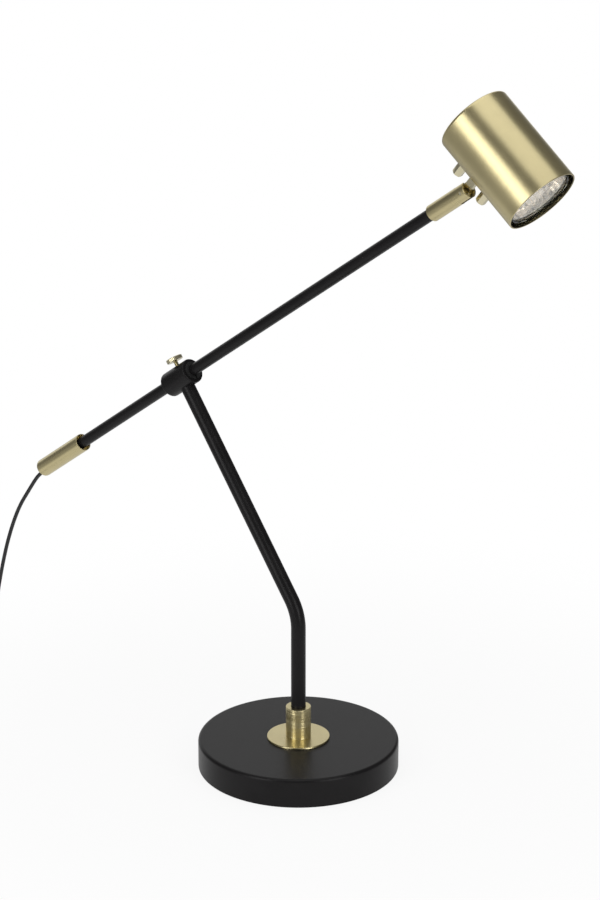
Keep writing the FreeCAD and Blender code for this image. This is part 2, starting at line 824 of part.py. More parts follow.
def least_gap(wire, diameter):
    """The least gap between turns of a wound tube, measured on points along its centre line."""
    step = 1.5
    points = wire.discretize(Distance=step)
    skip = int(diameter * 4 / step)
    least = diameter * 10
    for index, point in enumerate(points):
        for other in points[index + skip:]:
            gap = (other - point).Length - diameter
            if gap < least:
                least = gap
    return least


def cord_coil():
    wire = coil_wire()
    solid = swept(wire, cord_diameter, link_end, cord_side)
    share = solid.Volume / (math.pi * cord_radius ** 2 * wire.Length)
    print("cord_coil length %.1f" % wire.Length, "volume share %.4f" % share,
          "least gap %.2f" % least_gap(wire, cord_diameter))
    return solid


coil_last_reach, coil_last_layer = coil_crossings()[-1]
coil_exit = coil_point(-coil_last_reach, -cord_diameter, coil_last_layer * coil_layer)
plug_inlet = coil_exit - cord_bearing * plug_offset - cord_side * 0.5
plug_inlet.z = floor_lay
tail_points = [
    coil_exit,
    coil_exit - cord_side * 14.5,
    coil_exit - cord_side * 24.5 - cord_bearing * 10.0 - up * 3.5,
    coil_exit - cord_side * 25.5 - cord_bearing * 25.5 - up * 6.0,
    plug_inlet - cord_side * 14.5,
    plug_inlet,
]


def coil_tie():
    """A strip round the coil's bundle, where nothing else passes."""
    inner = coil_inner_radius - coil_pitch / 4 - cord_radius - tie_gap - coil_pitch / 4
    outer = coil_outer_radius + coil_pitch / 4 + cord_radius + tie_gap
    low = -cord_radius - tie_gap
    high = (coil_layers - 1) * coil_layer + cord_radius + tie_gap
    half = tie_width / 2
    band = box(inner - tie_thickness, outer + tie_thickness, -half, half,
               low - tie_thickness, high + tie_thickness)
    band = band.cut(box(inner, outer, -tie_width, tie_width, low, high))
    turn = FreeCAD.Rotation(Vector(1, 0, 0), cord_side)
    band.Placement = FreeCAD.Placement(coil_centre, turn)
    return band


class Lying:
    """A frame for a piece that lies on the table: local X runs the way the cord does."""

    def __init__(self, start, way):
        turn = FreeCAD.Rotation(Vector(1, 0, 0), Vector(way.x, way.y, 0))
        self.placement = FreeCAD.Placement(Vector(start.x, start.y, 0), turn)

    def place(self, shape):
        placed = shape.copy()
        placed.Placement = self.placement.multiply(placed.Placement)
        return placed

    def point(self, x, y, z):
        return self.placement.multVec(Vector(x, y, z))


SWITCH = Lying(switch_inlet, cord_bearing)
PLUG = Lying(plug_inlet, cord_side)


def rounded_block(length, width, low, high, corner):
    """A block with rounded upright corners, from local X 0 to its length."""
    body = box(0, length, -width / 2, width / 2, low, high)
    upright = [edge for edge in body.Edges if abs(edge.BoundBox.ZLength - (high - low)) < 0.001]
    return body.makeFillet(corner, upright)


def edges_at(shape, height):
    """Every edge that lies flat at a height."""
    found = []
    for edge in shape.Edges:
        bound = edge.BoundBox
        if abs(bound.ZMin - height) < 0.001 and abs(bound.ZMax - height) < 0.001:
            found.append(edge)
    return found


rocker_middle = switch_length / 2
rocker_well_length = rocker_length + 2 * rocker_end_gap
rocker_well_width = rocker_width + 2 * rocker_side_gap


def switch_well():
    floor = switch_split - rocker_pocket
    return box(rocker_middle - rocker_well_length / 2, rocker_middle + rocker_well_length / 2,
               -rocker_well_width / 2, rocker_well_width / 2, floor, switch_height + ahead)


def rocker_pivot(radius, half):
    return rod_along(radius, Vector(rocker_middle, -half, rocker_pivot_height),
                     Vector(rocker_middle, half, rocker_pivot_height))


def switch_base():
    body = rounded_block(switch_length, switch_width, 0, switch_split, switch_corner_radius)
    body = body.makeFillet(switch_edge_radius, edges_at(body, 0))
    return SWITCH.place(body.cut(switch_well()))


def switch_cover():
    body = rounded_block(switch_length, switch_width, switch_split, switch_height, switch_corner_radius)
    body = body.makeFillet(switch_edge_radius, edges_at(body, switch_height))
    body = body.cut(switch_well())
    half = rocker_well_width / 2 + rocker_pivot_seat
    return SWITCH.place(body.cut(rocker_pivot(rocker_pivot_diameter / 2 + pin_fit, half)))


def switch_rocker():
    half = rocker_length / 2
    top = switch_height + rocker_rise
    first = Vector(rocker_middle - half, 0, top)
    last = Vector(rocker_middle + half, 0, top)
    first_foot = Vector(rocker_middle - rocker_foot / 2, 0, switch_split + rocker_rise)
    last_foot = Vector(rocker_middle + rocker_foot / 2, 0, switch_split + rocker_rise)
    dish = Part.Arc(first, Vector(rocker_middle, 0, top - rocker_dip), last).toShape()
    wire = Part.Wire([dish, Part.makeLine(last, last_foot), Part.makeLine(last_foot, first_foot),
                      Part.makeLine(first_foot, first)])
    body = Part.Face(wire).extrude(Vector(0, rocker_width, 0))
    body.translate(Vector(0, -rocker_width / 2, 0))
    reach = rocker_well_width / 2 + rocker_pivot_seat - rocker_side_gap / 2
    body = joined(body, rocker_pivot(rocker_pivot_diameter / 2, reach))
    body.rotate(Vector(rocker_middle, 0, rocker_pivot_height), Vector(0, 1, 0), rocker_swing)
    return SWITCH.place(body)


def plug_body():
    half = plug_width / 2
    throat = plug_throat / 2
    shoulder = plug_taper
    bottom = floor_lay - plug_height / 2
    corners = [(0, -throat), (shoulder, -half), (plug_length, -half),
               (plug_length, half), (shoulder, half), (0, throat), (0, -throat)]
    outline = [Vector(x, y, bottom) for x, y in corners]
    body = Part.Face(Part.makePolygon(outline)).extrude(Vector(0, 0, plug_height))
    upright = [edge for edge in body.Edges if abs(edge.BoundBox.ZLength - plug_height) < 0.001]
    body = body.makeFillet(plug_edge_radius, upright)
    body = body.makeFillet(plug_edge_radius, edges_at(body, bottom) + edges_at(body, bottom + plug_height))
    return PLUG.place(body)


def plug_pins():
    pins = []
    for y in (-plug_pin_spacing / 2, plug_pin_spacing / 2):
        end = Vector(plug_length + plug_pin_length, y, floor_lay)
        pin = rod_along(plug_pin_diameter / 2, Vector(plug_length, y, floor_lay), end)
        tip = [edge for edge in pin.Edges if abs(edge.CenterOfMass.x - end.x) < 0.001]
        pins.append(pin.makeFillet(plug_pin_tip_radius, tip))
    return PLUG.place(Part.Compound(pins))


def cord_drop():
    return free_stretch("cord_drop", drop_points)


def cord_link():
    return free_stretch("cord_link", link_points)


def cord_tail():
    return free_stretch("cord_tail", tail_points)


SUB_PARTS = [
    base_cover, base_weight, base_pad, base_washer, base_bolt, flange_plate, stem_collar,
    collar_grub_screw, stem_tube, arm_sleeve, sleeve_bush, thumbscrew, arm_tube, counterweight_handle,
    tail_relief, inner_lead, arm_ferrule, tilt_pin, tilt_washers, swivel_tongue, head_plate,
    plate_spacers, plate_nuts, plate_screws, head_shell, holder_bracket, lamp_holder, holder_screws,
    lamp_reflector, lamp_lens, lamp_burner, lamp_pins, cord_drop, cord_link, cord_coil, cord_tail,
    coil_tie, switch_base, switch_cover, switch_rocker, plug_body, plug_pins,
]


def main():
    os.makedirs("parts", exist_ok=True)
    for make in SUB_PARTS:
        shape = make()
        name = make.__name__
        if not shape.isValid() or not shape.Solids:
            print("not a valid solid:", name)
        shape.exportStep("parts/%s.step" % name)


main()
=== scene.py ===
"""Looks for the counterweight balance desk lamp, in metres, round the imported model."""

import json
import logging
import math
from dataclasses import dataclass
from enum import Enum, IntEnum
from typing import Callable, Iterable, Sequence, Union

import bpy
from mathutils import Matrix, Vector


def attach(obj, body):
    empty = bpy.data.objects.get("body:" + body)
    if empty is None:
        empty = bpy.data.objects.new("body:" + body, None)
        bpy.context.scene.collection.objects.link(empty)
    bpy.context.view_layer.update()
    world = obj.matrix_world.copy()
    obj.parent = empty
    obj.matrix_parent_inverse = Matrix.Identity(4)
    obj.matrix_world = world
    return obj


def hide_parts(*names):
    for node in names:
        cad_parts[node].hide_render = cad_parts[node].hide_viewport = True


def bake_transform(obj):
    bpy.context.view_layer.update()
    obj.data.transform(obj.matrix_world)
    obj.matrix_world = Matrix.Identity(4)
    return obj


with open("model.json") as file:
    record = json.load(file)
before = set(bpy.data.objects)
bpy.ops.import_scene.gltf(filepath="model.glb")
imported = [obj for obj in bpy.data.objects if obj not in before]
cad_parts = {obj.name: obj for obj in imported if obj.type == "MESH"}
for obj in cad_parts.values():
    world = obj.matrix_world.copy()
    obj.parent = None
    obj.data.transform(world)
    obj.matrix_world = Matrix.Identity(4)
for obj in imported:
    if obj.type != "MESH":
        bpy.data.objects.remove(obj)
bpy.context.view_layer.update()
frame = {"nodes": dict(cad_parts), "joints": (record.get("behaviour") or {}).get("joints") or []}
LOG = logging.getLogger("desk_lamp")
MM = 0.001
UP = Vector((0.0, 0.0, 1.0))
ACROSS = Vector((0.0, 1.0, 0.0))
IN_PLACE = Matrix.Identity(4)


# ---- shader maths --------------------------------------------------------------------------------
Number = Union[float, "Value"]
Given = Union[float, Sequence[float], Vector, "Value"]


class Value:
    """A shader socket that takes part in Python arithmetic."""

    def __init__(self, tree: "Nodes", socket: bpy.types.NodeSocket) -> None:
        """Keeps the socket and the tree that new nodes go into."""
        self.tree = tree
        self.socket = socket

    def maths(self, operation: str, *terms: Number) -> "Value":
        """Adds a Math node on these terms, its inputs in order."""
        return self.tree.node("ShaderNodeMath", {"operation": operation}, dict(enumerate(terms)))

    def __add__(self, other: Number) -> "Value":
        """This value plus another."""
        return self.maths("ADD", self, other)

    __radd__ = __add__

    def __sub__(self, other: Number) -> "Value":
        """This value less another."""
        return self.maths("SUBTRACT", self, other)

    def __rsub__(self, other: float) -> "Value":
        """A number less this value."""
        return self.maths("SUBTRACT", other, self)

    def __mul__(self, other: Number) -> "Value":
        """This value times another."""
        return self.maths("MULTIPLY", self, other)

    __rmul__ = __mul__

    def larger(self, other: Number) -> "Value":
        """The larger of this value and another."""
        return self.maths("MAXIMUM", self, other)

    def step(self, low: float, high: float) -> "Value":
        """A smooth rise from 0 at low to 1 at high.

        Args:
            low: where the rise starts.
            high: where it ends.

        Returns:
            A value from 0 to 1.
        """
        settings = {"interpolation_type": "SMOOTHSTEP"}
        inputs = {"Value": self, "From Min": low, "From Max": high}
        return self.tree.node("ShaderNodeMapRange", settings, inputs)

    def between(self, low: float, high: float) -> "Value":
        """Spreads a value from 0 to 1 over a range."""
        return self * (high - low) + low

    def about(self, middle: float, reach: float) -> "Value":
        """Spreads a value from 0 to 1 that far to each side of a number."""
        return self.between(middle - reach, middle + reach)


class Ray(Enum):
    """What sent a ray to the surface, by the name of its socket."""

    CAMERA = "Is Camera Ray"
    GLOSSY = "Is Glossy Ray"
    TRANSMISSION = "Is Transmission Ray"


class Nodes:
    """A node tree that is written as expressions."""

    mix_inputs = (0, 6, 7)
    mix_result = 2

    def __init__(self, tree: bpy.types.NodeTree) -> None:
        """Keeps the tree and empties it."""
        self.tree = tree
        tree.nodes.clear()

    def node(self, kind: str, settings: dict, inputs: dict, output: Union[int, str] = 0) -> Value:
        """Adds a node.

        Args:
            kind: the node's type.
            settings: its properties by name, which are set first.
            inputs: numbers, colours, vectors or values by socket name or index.
            output: the socket that is handed back.

        Returns:
            The chosen output.
        """
        node = self.tree.nodes.new(kind)
        for name, setting in settings.items():
            setattr(node, name, setting)
        for key, given in inputs.items():
            socket = node.inputs[key]
            if isinstance(given, Value):
                self.tree.links.new(given.socket, socket)
            else:
                socket.default_value = given
        return Value(self, node.outputs[output])

    def place(self) -> Value:
        """The point on the piece, in its own frame."""
        return self.node("ShaderNodeTexCoord", {}, {}, "Object")

    def vector(self, operation: str, *terms: Given, output: str = "Vector") -> Value:
        """Adds a Vector Math node on these terms."""
        return self.node("ShaderNodeVectorMath", {"operation": operation}, dict(enumerate(terms)), output)

    def dot(self, first: Given, second: Given) -> Value:
        """The dot product of two vectors."""
        return self.vector("DOT_PRODUCT", first, second, output="Value")

    def scaled(self, vector: Given, factor: Number) -> Value:
        """A vector times a number."""
        return self.node("ShaderNodeVectorMath", {"operation": "SCALE"}, {0: vector, "Scale": factor})

    def noise(self, where: Value, scale: float, detail: float = 2.0, rough: float = 0.5) -> Value:
        """Soft noise from about 0.3 to 0.7."""
        inputs = {"Vector": where, "Scale": scale, "Detail": detail, "Roughness": rough}
        return self.node("ShaderNodeTexNoise", {}, inputs)

    def mix(self, share: Number, first: Given, second: Given) -> Value:
        """A colour between two colours."""
        inputs = dict(zip(self.mix_inputs, (share, first, second)))
        return self.node("ShaderNodeMix", {"data_type": "RGBA"}, inputs, self.mix_result)

    def bump(self, height: Value, depth: float) -> Value:
        """A normal from a height, whose full range is that deep."""
        return self.node("ShaderNodeBump", {}, {"Height": height, "Distance": depth, "Strength": 1.0})

    def world_way(self, vector: Given) -> Value:
        """A direction in the piece's frame as one in the world."""
        settings = {"vector_type": "NORMAL", "convert_from": "OBJECT", "convert_to": "WORLD"}
        return self.node("ShaderNodeVectorTransform", settings, {"Vector": vector})

    def principled(self, **inputs: Given) -> Value:
        """A Principled surface, its sockets named with _ for each space."""
        named = {name.replace("_", " "): given for name, given in inputs.items()}
        return self.node("ShaderNodeBsdfPrincipled", {}, named)

    def output(self, shader: Value, kind: str = "ShaderNodeOutputMaterial") -> None:
        """Adds the output node and links the shader to it."""
        end = self.tree.nodes.new(kind)
        self.tree.links.new(shader.socket, end.inputs["Surface"])

    def glow(self, strength: Number) -> Value:
        """A surface that gives off white light."""
        return self.node("ShaderNodeEmission", {}, {"Color": WHITE, "Strength": strength})

    def ray(self, kind: Ray) -> Value:
        """1 for rays of that kind, 0 for the others."""
        return self.node("ShaderNodeLightPath", {}, {}, kind.value)

    def blend_shaders(self, share: Number, first: Value, second: Value) -> Value:
        """A surface between two surfaces."""
        return self.node("ShaderNodeMixShader", {}, {0: share, 1: first, 2: second})


def new_material(name: str) -> tuple[bpy.types.Material, Nodes]:
    """Adds an empty material.

    Args:
        name: the material's name.

    Returns:
        The material and its tree.
    """
    material = bpy.data.materials.new(name)
    material.use_nodes = True
    return material, Nodes(material.node_tree)


# ---- finishes ------------------------------------------------------------------------------------
Colour = tuple[float, float, float]
WHITE = (1.0, 1.0, 1.0, 1.0)


def rgba(colour: Colour, gain: float = 1.0) -> tuple[float, float, float, float]:
    """A colour with its alpha, made lighter or darker."""
    return (colour[0] * gain, colour[1] * gain, colour[2] * gain, 1.0)


@dataclass(frozen=True)
class Finish:
    """What a piece's surface is like."""

    name: str

    def material(self) -> bpy.types.Material:
        """Builds the finish's material."""
        material, tree = new_material(self.name)
        tree.output(self.surface(tree))
        return material

    def surface(self, tree: Nodes) -> Value:
        """Adds the finish's shader, which each finish writes for itself."""
        raise NotImplementedError


@dataclass(frozen=True)
class Patches:
    """A soft cloud that makes a colour darker and paler in patches."""

    scale: float
    dark: float
    pale: float
    detail: float = 3.0
    low: float = 0.3
    high: float = 0.7

    def cloud(self, tree: Nodes) -> Value:
        """The cloud itself, which also stirs the roughness."""
        return tree.noise(tree.place(), self.scale, self.detail)

    def over(self, tree: Nodes, cloud: Value, colour: Colour) -> Value:
        """The colour under the cloud."""
        return tree.mix(cloud.step(self.low, self.high), rgba(colour, self.dark), rgba(colour, self.pale))


class Brushing(Enum):
    """How the brass was worked."""

    TURNED = "brushed round its axis"
    POLISHED = "polished"


@dataclass(frozen=True)
class Brass(Finish):
    """Satin brass, brushed and lacquered, with painted shade darkening its bore."""

    axis: tuple[float, float, float] = (0.0, 0.0, 1.0)
    brushing: Brushing = Brushing.TURNED
    colour: Colour = (0.69, 0.60, 0.335)
    roughness: float = 0.27
    unevenness: float = 0.02
    patches: Patches = Patches(55.0, 0.97, 1.02, low=0.35, high=0.65)
    polish_depth: float = 0.02 * MM
    spread: float = 0.25
    groove_scale: float = 9000.0
    length_scale: float = 60.0
    lacquer: float = 0.12
    lacquer_roughness: float = 0.12
    bore_radius: float = 0.0
    bore_origin: tuple[float, float, float] = (0.0, 0.0, 0.0)
    bore_floor: float = 0.0
    bore_edge: float = 0.1 * MM
    # painted shade: the share of the brass colour left on the bore's wall and floor
    bore_shade_gain: float = 0.22

    def surface(self, tree: Nodes) -> Value:
        """Adds the brass.

        Args:
            tree: the material's nodes.

        Returns:
            Brass whose fine grooves tilt the surface across the brushing.
        """
        cloud = self.patches.cloud(tree)
        colour = self.patches.over(tree, cloud, self.colour)
        if self.bore_radius:
            # painted shade: the bore's wall and floor are darkened, standing in for the shade inside the head
            colour = tree.mix(self._within_bore(tree), colour, rgba(self.colour, self.bore_shade_gain))
        polished = self.brushing is Brushing.POLISHED
        return tree.principled(
            Base_Color=colour,
            Metallic=1.0,
            Roughness=cloud.about(self.roughness, self.unevenness),
            Normal=tree.bump(cloud, self.polish_depth) if polished else self._brushed(tree),
            Coat_Weight=self.lacquer,
            Coat_Roughness=self.lacquer_roughness,
        )

    def _within_bore(self, tree: Nodes) -> Value:
        """Finds the wall inside a bore round the axis, where shade is painted.

        Args:
            tree: the material's nodes.

        Returns:
            1 on the bore's wall and floor, 0 elsewhere.
        """
        offset = tree.vector("SUBTRACT", tree.place(), self.bore_origin)
        height = tree.dot(offset, self.axis)
        across = tree.vector("SUBTRACT", offset, tree.scaled(self.axis, height))
        radius = tree.vector("LENGTH", across, output="Value")
        above = height.step(self.bore_floor - self.bore_edge, self.bore_floor + self.bore_edge)
        beyond = radius.step(self.bore_radius - self.bore_edge, self.bore_radius + self.bore_edge)
        return (1.0 - beyond) * above

    def _brushed(self, tree: Nodes) -> Value:
        """Tilts the normal to and fro by grooves that run round the axis.

        Args:
            tree: the material's nodes.

        Returns:
            The tilted normal.
        """
        place = tree.place()
        stretch = self.groove_scale - self.length_scale
        axial = tree.scaled(self.axis, tree.dot(place, self.axis) * stretch)
        grooves = tree.noise(tree.vector("ADD", tree.scaled(place, self.length_scale), axial), 1.0, 1.0)
        normal = tree.node("ShaderNodeNewGeometry", {}, {}, "Normal")
        tilt = tree.scaled(tree.world_way(self.axis), (grooves - 0.5) * self.spread)
        return tree.vector("NORMALIZE", tree.vector("ADD", normal, tilt))


@dataclass(frozen=True)
class PowderCoat(Finish):
    """Black powder coating with its fine orange-peel grain."""

    colour: Colour = (0.0066, 0.0060, 0.0064)
    roughness: float = 0.32
    unevenness: float = 0.05
    gloss: float = 0.19
    patches: Patches = Patches(45.0, 0.86, 1.14)
    grain_scale: float = 1500.0
    grain_rough: float = 0.55
    grain_depth: float = 0.06 * MM
    speck_scale: float = 2550.0
    speck_from: float = 0.62
    speck_to: float = 0.74
    speck_share: float = 0.35
    speck_gain: float = 2.6

    def surface(self, tree: Nodes) -> Value:
        """Adds the coating.

        Args:
            tree: the material's nodes.

        Returns:
            A near-black satin surface with small pale specks.
        """
        place = tree.place()
        grain = tree.noise(place, self.grain_scale, 2.0, self.grain_rough)
        cloud = self.patches.cloud(tree)
        speck = tree.noise(place, self.speck_scale, 0.0).step(self.speck_from, self.speck_to)
        colour = self.patches.over(tree, cloud, self.colour)
        return tree.principled(
            Base_Color=tree.mix(speck * self.speck_share, colour, rgba(self.colour, self.speck_gain)),
            Roughness=cloud.about(self.roughness, self.unevenness),
            Normal=tree.bump(grain, self.grain_depth),
            Specular_IOR_Level=self.gloss,
        )


@dataclass(frozen=True)
class Steel(Finish):
    """Zinc-plated or blackened steel."""

    colour: Colour = (0.48, 0.48, 0.49)
    roughness: float = 0.32
    unevenness: float = 0.1
    patches: Patches = Patches(900.0, 0.82, 1.1)
    depth: float = 0.03 * MM

    def surface(self, tree: Nodes) -> Value:
        """Adds the steel.

        Args:
            tree: the material's nodes.

        Returns:
            Plated steel with a faint crystalline cloud.
        """
        cloud = self.patches.cloud(tree)
        return tree.principled(
            Base_Color=self.patches.over(tree, cloud, self.colour),
            Metallic=1.0,
            Roughness=cloud.about(self.roughness, self.unevenness),
            Normal=tree.bump(cloud, self.depth),
        )


@dataclass(frozen=True)
class Moulded(Finish):
    """Moulded plastic, rubber, ceramic or cast iron: one colour with a fine mottle and grain."""

    colour: Colour
    roughness: float
    grain_scale: float = 1200.0
    grain_depth: float = 0.04 * MM
    grain_rough: float = 0.6
    unevenness: float = 0.08
    patches: Patches = Patches(130.0, 0.88, 1.12)

    def surface(self, tree: Nodes) -> Value:
        """Adds the moulding's surface.

        Args:
            tree: the material's nodes.

        Returns:
            A dull or satin surface with its grain.
        """
        grain = tree.noise(tree.place(), self.grain_scale, 3.0, self.grain_rough)
        return tree.principled(
            Base_Color=self.patches.over(tree, self.patches.cloud(tree), self.colour),
            Roughness=grain.about(self.roughness, self.unevenness),
            Normal=tree.bump(grain, self.grain_depth),
        )


@dataclass(frozen=True)
class ClearGlass(Finish):
    """Clear lamp glass, which a thin coat may tint."""

    tint: Colour = (1.0, 0.99, 0.97)
    roughness: float = 0.02
    haze: float = 0.03
    ior: float = 1.45
    ripple_scale: float = 240.0
    ripple_depth: float = 0.04 * MM

    def surface(self, tree: Nodes) -> Value:
        """Adds the glass.

        Args:
            tree: the material's nodes.

        Returns:
            Glass that lets light through to what lies behind it.
        """
        ripple = tree.noise(tree.place(), self.ripple_scale)
        return tree.principled(
            Base_Color=rgba(self.tint),
            Roughness=ripple.between(self.roughness, self.roughness + self.haze),
            IOR=self.ior,
            Transmission_Weight=1.0,
            Normal=tree.bump(ripple, self.ripple_depth),
        )


@dataclass(frozen=True)
class FacetedMirror(Steel):
    """The lamp's pressed glass reflector with its thin warm metal coat, duller in patches."""

    colour: Colour = (0.97, 0.91, 0.82)
    roughness: float = 0.12
    unevenness: float = 0.06
    patches: Patches = Patches(260.0, 0.78, 1.05, detail=2.0)
    depth: float = 0.05 * MM


# ---- modelling steps -----------------------------------------------------------------------------
@dataclass(frozen=True)
class Corner:
    """A corner of a turned outline: radius, height and how round it is."""

    radius: float
    height: float
    rounding: float = 0.0


@dataclass(frozen=True)
class Axis:
    """A line in the frame that pieces are turned about."""

    origin: Vector
    way: Vector
    across: Vector = ACROSS

    def matrix(self) -> Matrix:
        """Works out the line's own frame.

        Returns:
            A frame with local Z on the line and local Y across it.
        """
        up = self.way.normalized()
        side = (self.across - up * self.across.dot(up)).normalized()
        third = side.cross(up)
        turn = Matrix((third, side, up)).transposed()
        return Matrix.Translation(self.origin) @ turn.to_4x4()


class Fineness(IntEnum):
    """How many flats go round a turned piece, by how large it is."""

    WIDE = 192
    USUAL = 128
    LAMP = 96
    TUBE = 64
    SMALL = 48
    THREAD = 32


class Cut(Enum):
    """What one piece does to another."""

    AWAY = "DIFFERENCE"
    JOINED = "UNION"
    SHARED = "INTERSECT"


class Bench:
    """The modelling steps that the pieces share."""

    round_steps: int = 5
    edge_support: float = 0.2
    merge_reach: float = 0.002 * MM
    facing: float = 0.9

    @staticmethod
    def clear() -> None:
        """Leaves edit mode and deselects everything."""
        if bpy.context.object is not None and bpy.context.object.mode != "OBJECT":
            bpy.ops.object.mode_set(mode="OBJECT")
        bpy.ops.object.select_all(action="DESELECT")

    @classmethod
    def only(cls, piece: bpy.types.Object) -> None:
        """Leaves one piece selected and active.

        Args:
            piece: the piece.
        """
        cls.clear()
        piece.select_set(True)
        bpy.context.view_layer.objects.active = piece

    @staticmethod
    def named(name: str) -> bpy.types.Object:
        """Names the piece that was just added, and its mesh.

        Args:
            name: the name of both.

        Returns:
            The piece.
        """
        piece = bpy.context.object
        piece.name = piece.data.name = name
        return piece

    @staticmethod
    def fixed(piece: bpy.types.Object, place: Matrix) -> None:
        """Puts a piece in its place, which goes into its mesh."""
        piece.matrix_world = place
        bpy.ops.object.transform_apply(location=True, rotation=True, scale=True)

    @classmethod
    def closed_up(cls) -> None:
        """Merges the open piece's doubled points, faces it outwards and leaves edit mode."""
        bpy.ops.mesh.select_all(action="SELECT")
        bpy.ops.mesh.remove_doubles(threshold=cls.merge_reach)
        bpy.ops.mesh.normals_make_consistent(inside=False)
        bpy.ops.object.mode_set(mode="OBJECT")

    @classmethod
    def outline(cls, corners: Sequence[Corner], closed: bool = False) -> list[Vector]:
        """Rounds an outline's corners with short arcs.

        Args:
            corners: the outline in order.
            closed: whether the last corner joins the first.

        Returns:
            Points with X as radius and Z as height.
        """
        count = len(corners)
        points = []
        for index, corner in enumerate(corners):
            here = Vector((corner.radius, 0.0, corner.height))
            inner = closed or 0 < index < count - 1
            if not corner.rounding or not inner:
                points.append(here)
                continue
            before = corners[index - 1]
            after = corners[(index + 1) % count]
            first = (Vector((before.radius, 0.0, before.height)) - here).normalized()
            second = (Vector((after.radius, 0.0, after.height)) - here).normalized()
            half = first.angle(second) / 2
            reach = corner.rounding / math.tan(half)
            middle = here + (first + second).normalized() * (corner.rounding / math.sin(half))
            ends = (here + first * reach, here + second * reach)
            turn = math.pi - 2 * half
            points.append(ends[0] + first * corner.rounding * cls.edge_support)
            for step in range(cls.round_steps + 1):
                share = step / cls.round_steps
                low = math.sin((1 - share) * turn) / math.sin(turn)
                high = math.sin(share * turn) / math.sin(turn)
                points.append(middle + (ends[0] - middle) * low + (ends[1] - middle) * high)
            points.append(ends[1] + second * corner.rounding * cls.edge_support)
        if closed:
            points.append(points[0].copy())
        return points

    @classmethod
    def turned(
        cls, name: str, points: Sequence[Vector], axis: Axis, flats: int = Fineness.USUAL
    ) -> bpy.types.Object:
        """Turns an outline about a line.

        Args:
            name: the piece's name.
            points: the outline, radius as X and height as Z.
            axis: the line that the piece goes on.
            flats: how many flats go round.

        Returns:
            The piece, closed and smooth, with its place in its mesh.
        """
        cls.clear()
        bpy.ops.mesh.primitive_plane_add(size=0.01)
        piece = cls.named(name)
        bpy.ops.object.mode_set(mode="EDIT")
        bpy.ops.mesh.select_mode(type="VERT")
        bpy.ops.mesh.select_all(action="SELECT")
        bpy.ops.mesh.merge(type="CENTER")
        bpy.ops.transform.translate(value=points[0])
        for before, after in zip(points, points[1:]):
            bpy.ops.mesh.extrude_region_move(TRANSFORM_OT_translate={"value": after - before})
        bpy.ops.mesh.select_all(action="SELECT")
        bpy.ops.mesh.spin(steps=int(flats), angle=math.tau, center=(0, 0, 0), axis=UP)
        cls.closed_up()
        return cls.settled(piece, axis.matrix())

    @classmethod
    def edit(cls, piece: bpy.types.Object) -> None:
        """Opens a piece for editing by its faces, with nothing selected.

        Args:
            piece: the piece.
        """
        cls.only(piece)
        bpy.ops.object.mode_set(mode="EDIT")
        bpy.ops.mesh.select_mode(type="FACE")
        bpy.ops.mesh.select_all(action="DESELECT")

    @classmethod
    def pick(cls, piece: bpy.types.Object, wanted: Callable[[Vector, Vector], bool]) -> None:
        """Opens a piece with some of its faces selected.

        Args:
            piece: the piece.
            wanted: says from a face's middle and normal whether it is selected.
        """
        cls.edit(piece)
        bpy.ops.object.mode_set(mode="OBJECT")
        for face in piece.data.polygons:
            face.select = wanted(face.center, face.normal)
        bpy.ops.object.mode_set(mode="EDIT")

    @classmethod
    def pick_corners(cls, piece: bpy.types.Object, wanted: Callable[[int, Vector], bool]) -> None:
        """Opens a piece with some of its points selected.

        Args:
            piece: the piece.
            wanted: says from a point's number and place whether it is selected.
        """
        cls.edit(piece)
        bpy.ops.mesh.select_mode(type="VERT")
        bpy.ops.object.mode_set(mode="OBJECT")
        for vertex in piece.data.vertices:
            vertex.select = wanted(vertex.index, vertex.co)
        bpy.ops.object.mode_set(mode="EDIT")

    @classmethod
    def disc(cls, name: str, sides: int, radius: float) -> bpy.types.Object:
        """Lays down a flat face, the start of a piece that is drawn up from its outline.

        Args:
            name: the piece's name.
            sides: how many corners the face has.
            radius: how far out its corners are.

        Returns:
            The flat piece.
        """
        cls.clear()
        bpy.ops.mesh.primitive_circle_add(vertices=sides, radius=radius, fill_type="NGON")
        return cls.named(name)

    @classmethod
    def raise_face(cls, piece: bpy.types.Object, height: float, edge: float = 0.0) -> None:
        """Draws the flat outline up into a body, with a chamfer round its top and its foot.

        Args:
            piece: the flat face.
            height: how tall the body gets.
            edge: the chamfer's size.
        """
        cls.pick(piece, lambda middle, normal: True)
        bpy.ops.mesh.extrude_region_move(TRANSFORM_OT_translate={"value": UP * height})
        bpy.ops.mesh.select_all(action="SELECT")
        bpy.ops.mesh.normals_make_consistent(inside=False)
        if edge:
            cls.pick(piece, lambda middle, normal: abs(normal.z) > cls.facing)
            bpy.ops.transform.resize(value=(1.0, 1.0, (height - 2 * edge) / height))
            bpy.ops.mesh.inset(thickness=edge, depth=edge, use_individual=True)
        bpy.ops.object.mode_set(mode="OBJECT")

    @classmethod
    def rod(
        cls, radius: float, low: float, high: float, place: Matrix, sides: int = Fineness.TUBE
    ) -> bpy.types.Object:
        """Adds a plain round bar to cut with.

        Args:
            radius: the bar's radius.
            low: where it starts along local Z.
            high: where it ends.
            place: its own frame.
            sides: how many flats it has.

        Returns:
            The bar.
        """
        cls.clear()
        middle = UP * (high + low) / 2
        bpy.ops.mesh.primitive_cylinder_add(
            vertices=int(sides), radius=radius, depth=high - low, location=middle
        )
        bar = bpy.context.object
        bpy.ops.object.transform_apply(location=True)
        cls.fixed(bar, place)
        return bar

    @classmethod
    def block(cls, low: Vector, high: Vector, place: Matrix) -> bpy.types.Object:
        """Adds a plain block to cut with or to shape further.

        Args:
            low: its lowest corner.
            high: its highest corner.
            place: the frame that its corners are in.

        Returns:
            The block.
        """
        cls.clear()
        bpy.ops.mesh.primitive_cube_add(size=1.0)
        block = bpy.context.object
        size = Matrix.Diagonal((*(high - low), 1.0))
        cls.fixed(block, place @ Matrix.Translation((low + high) / 2) @ size)
        return block

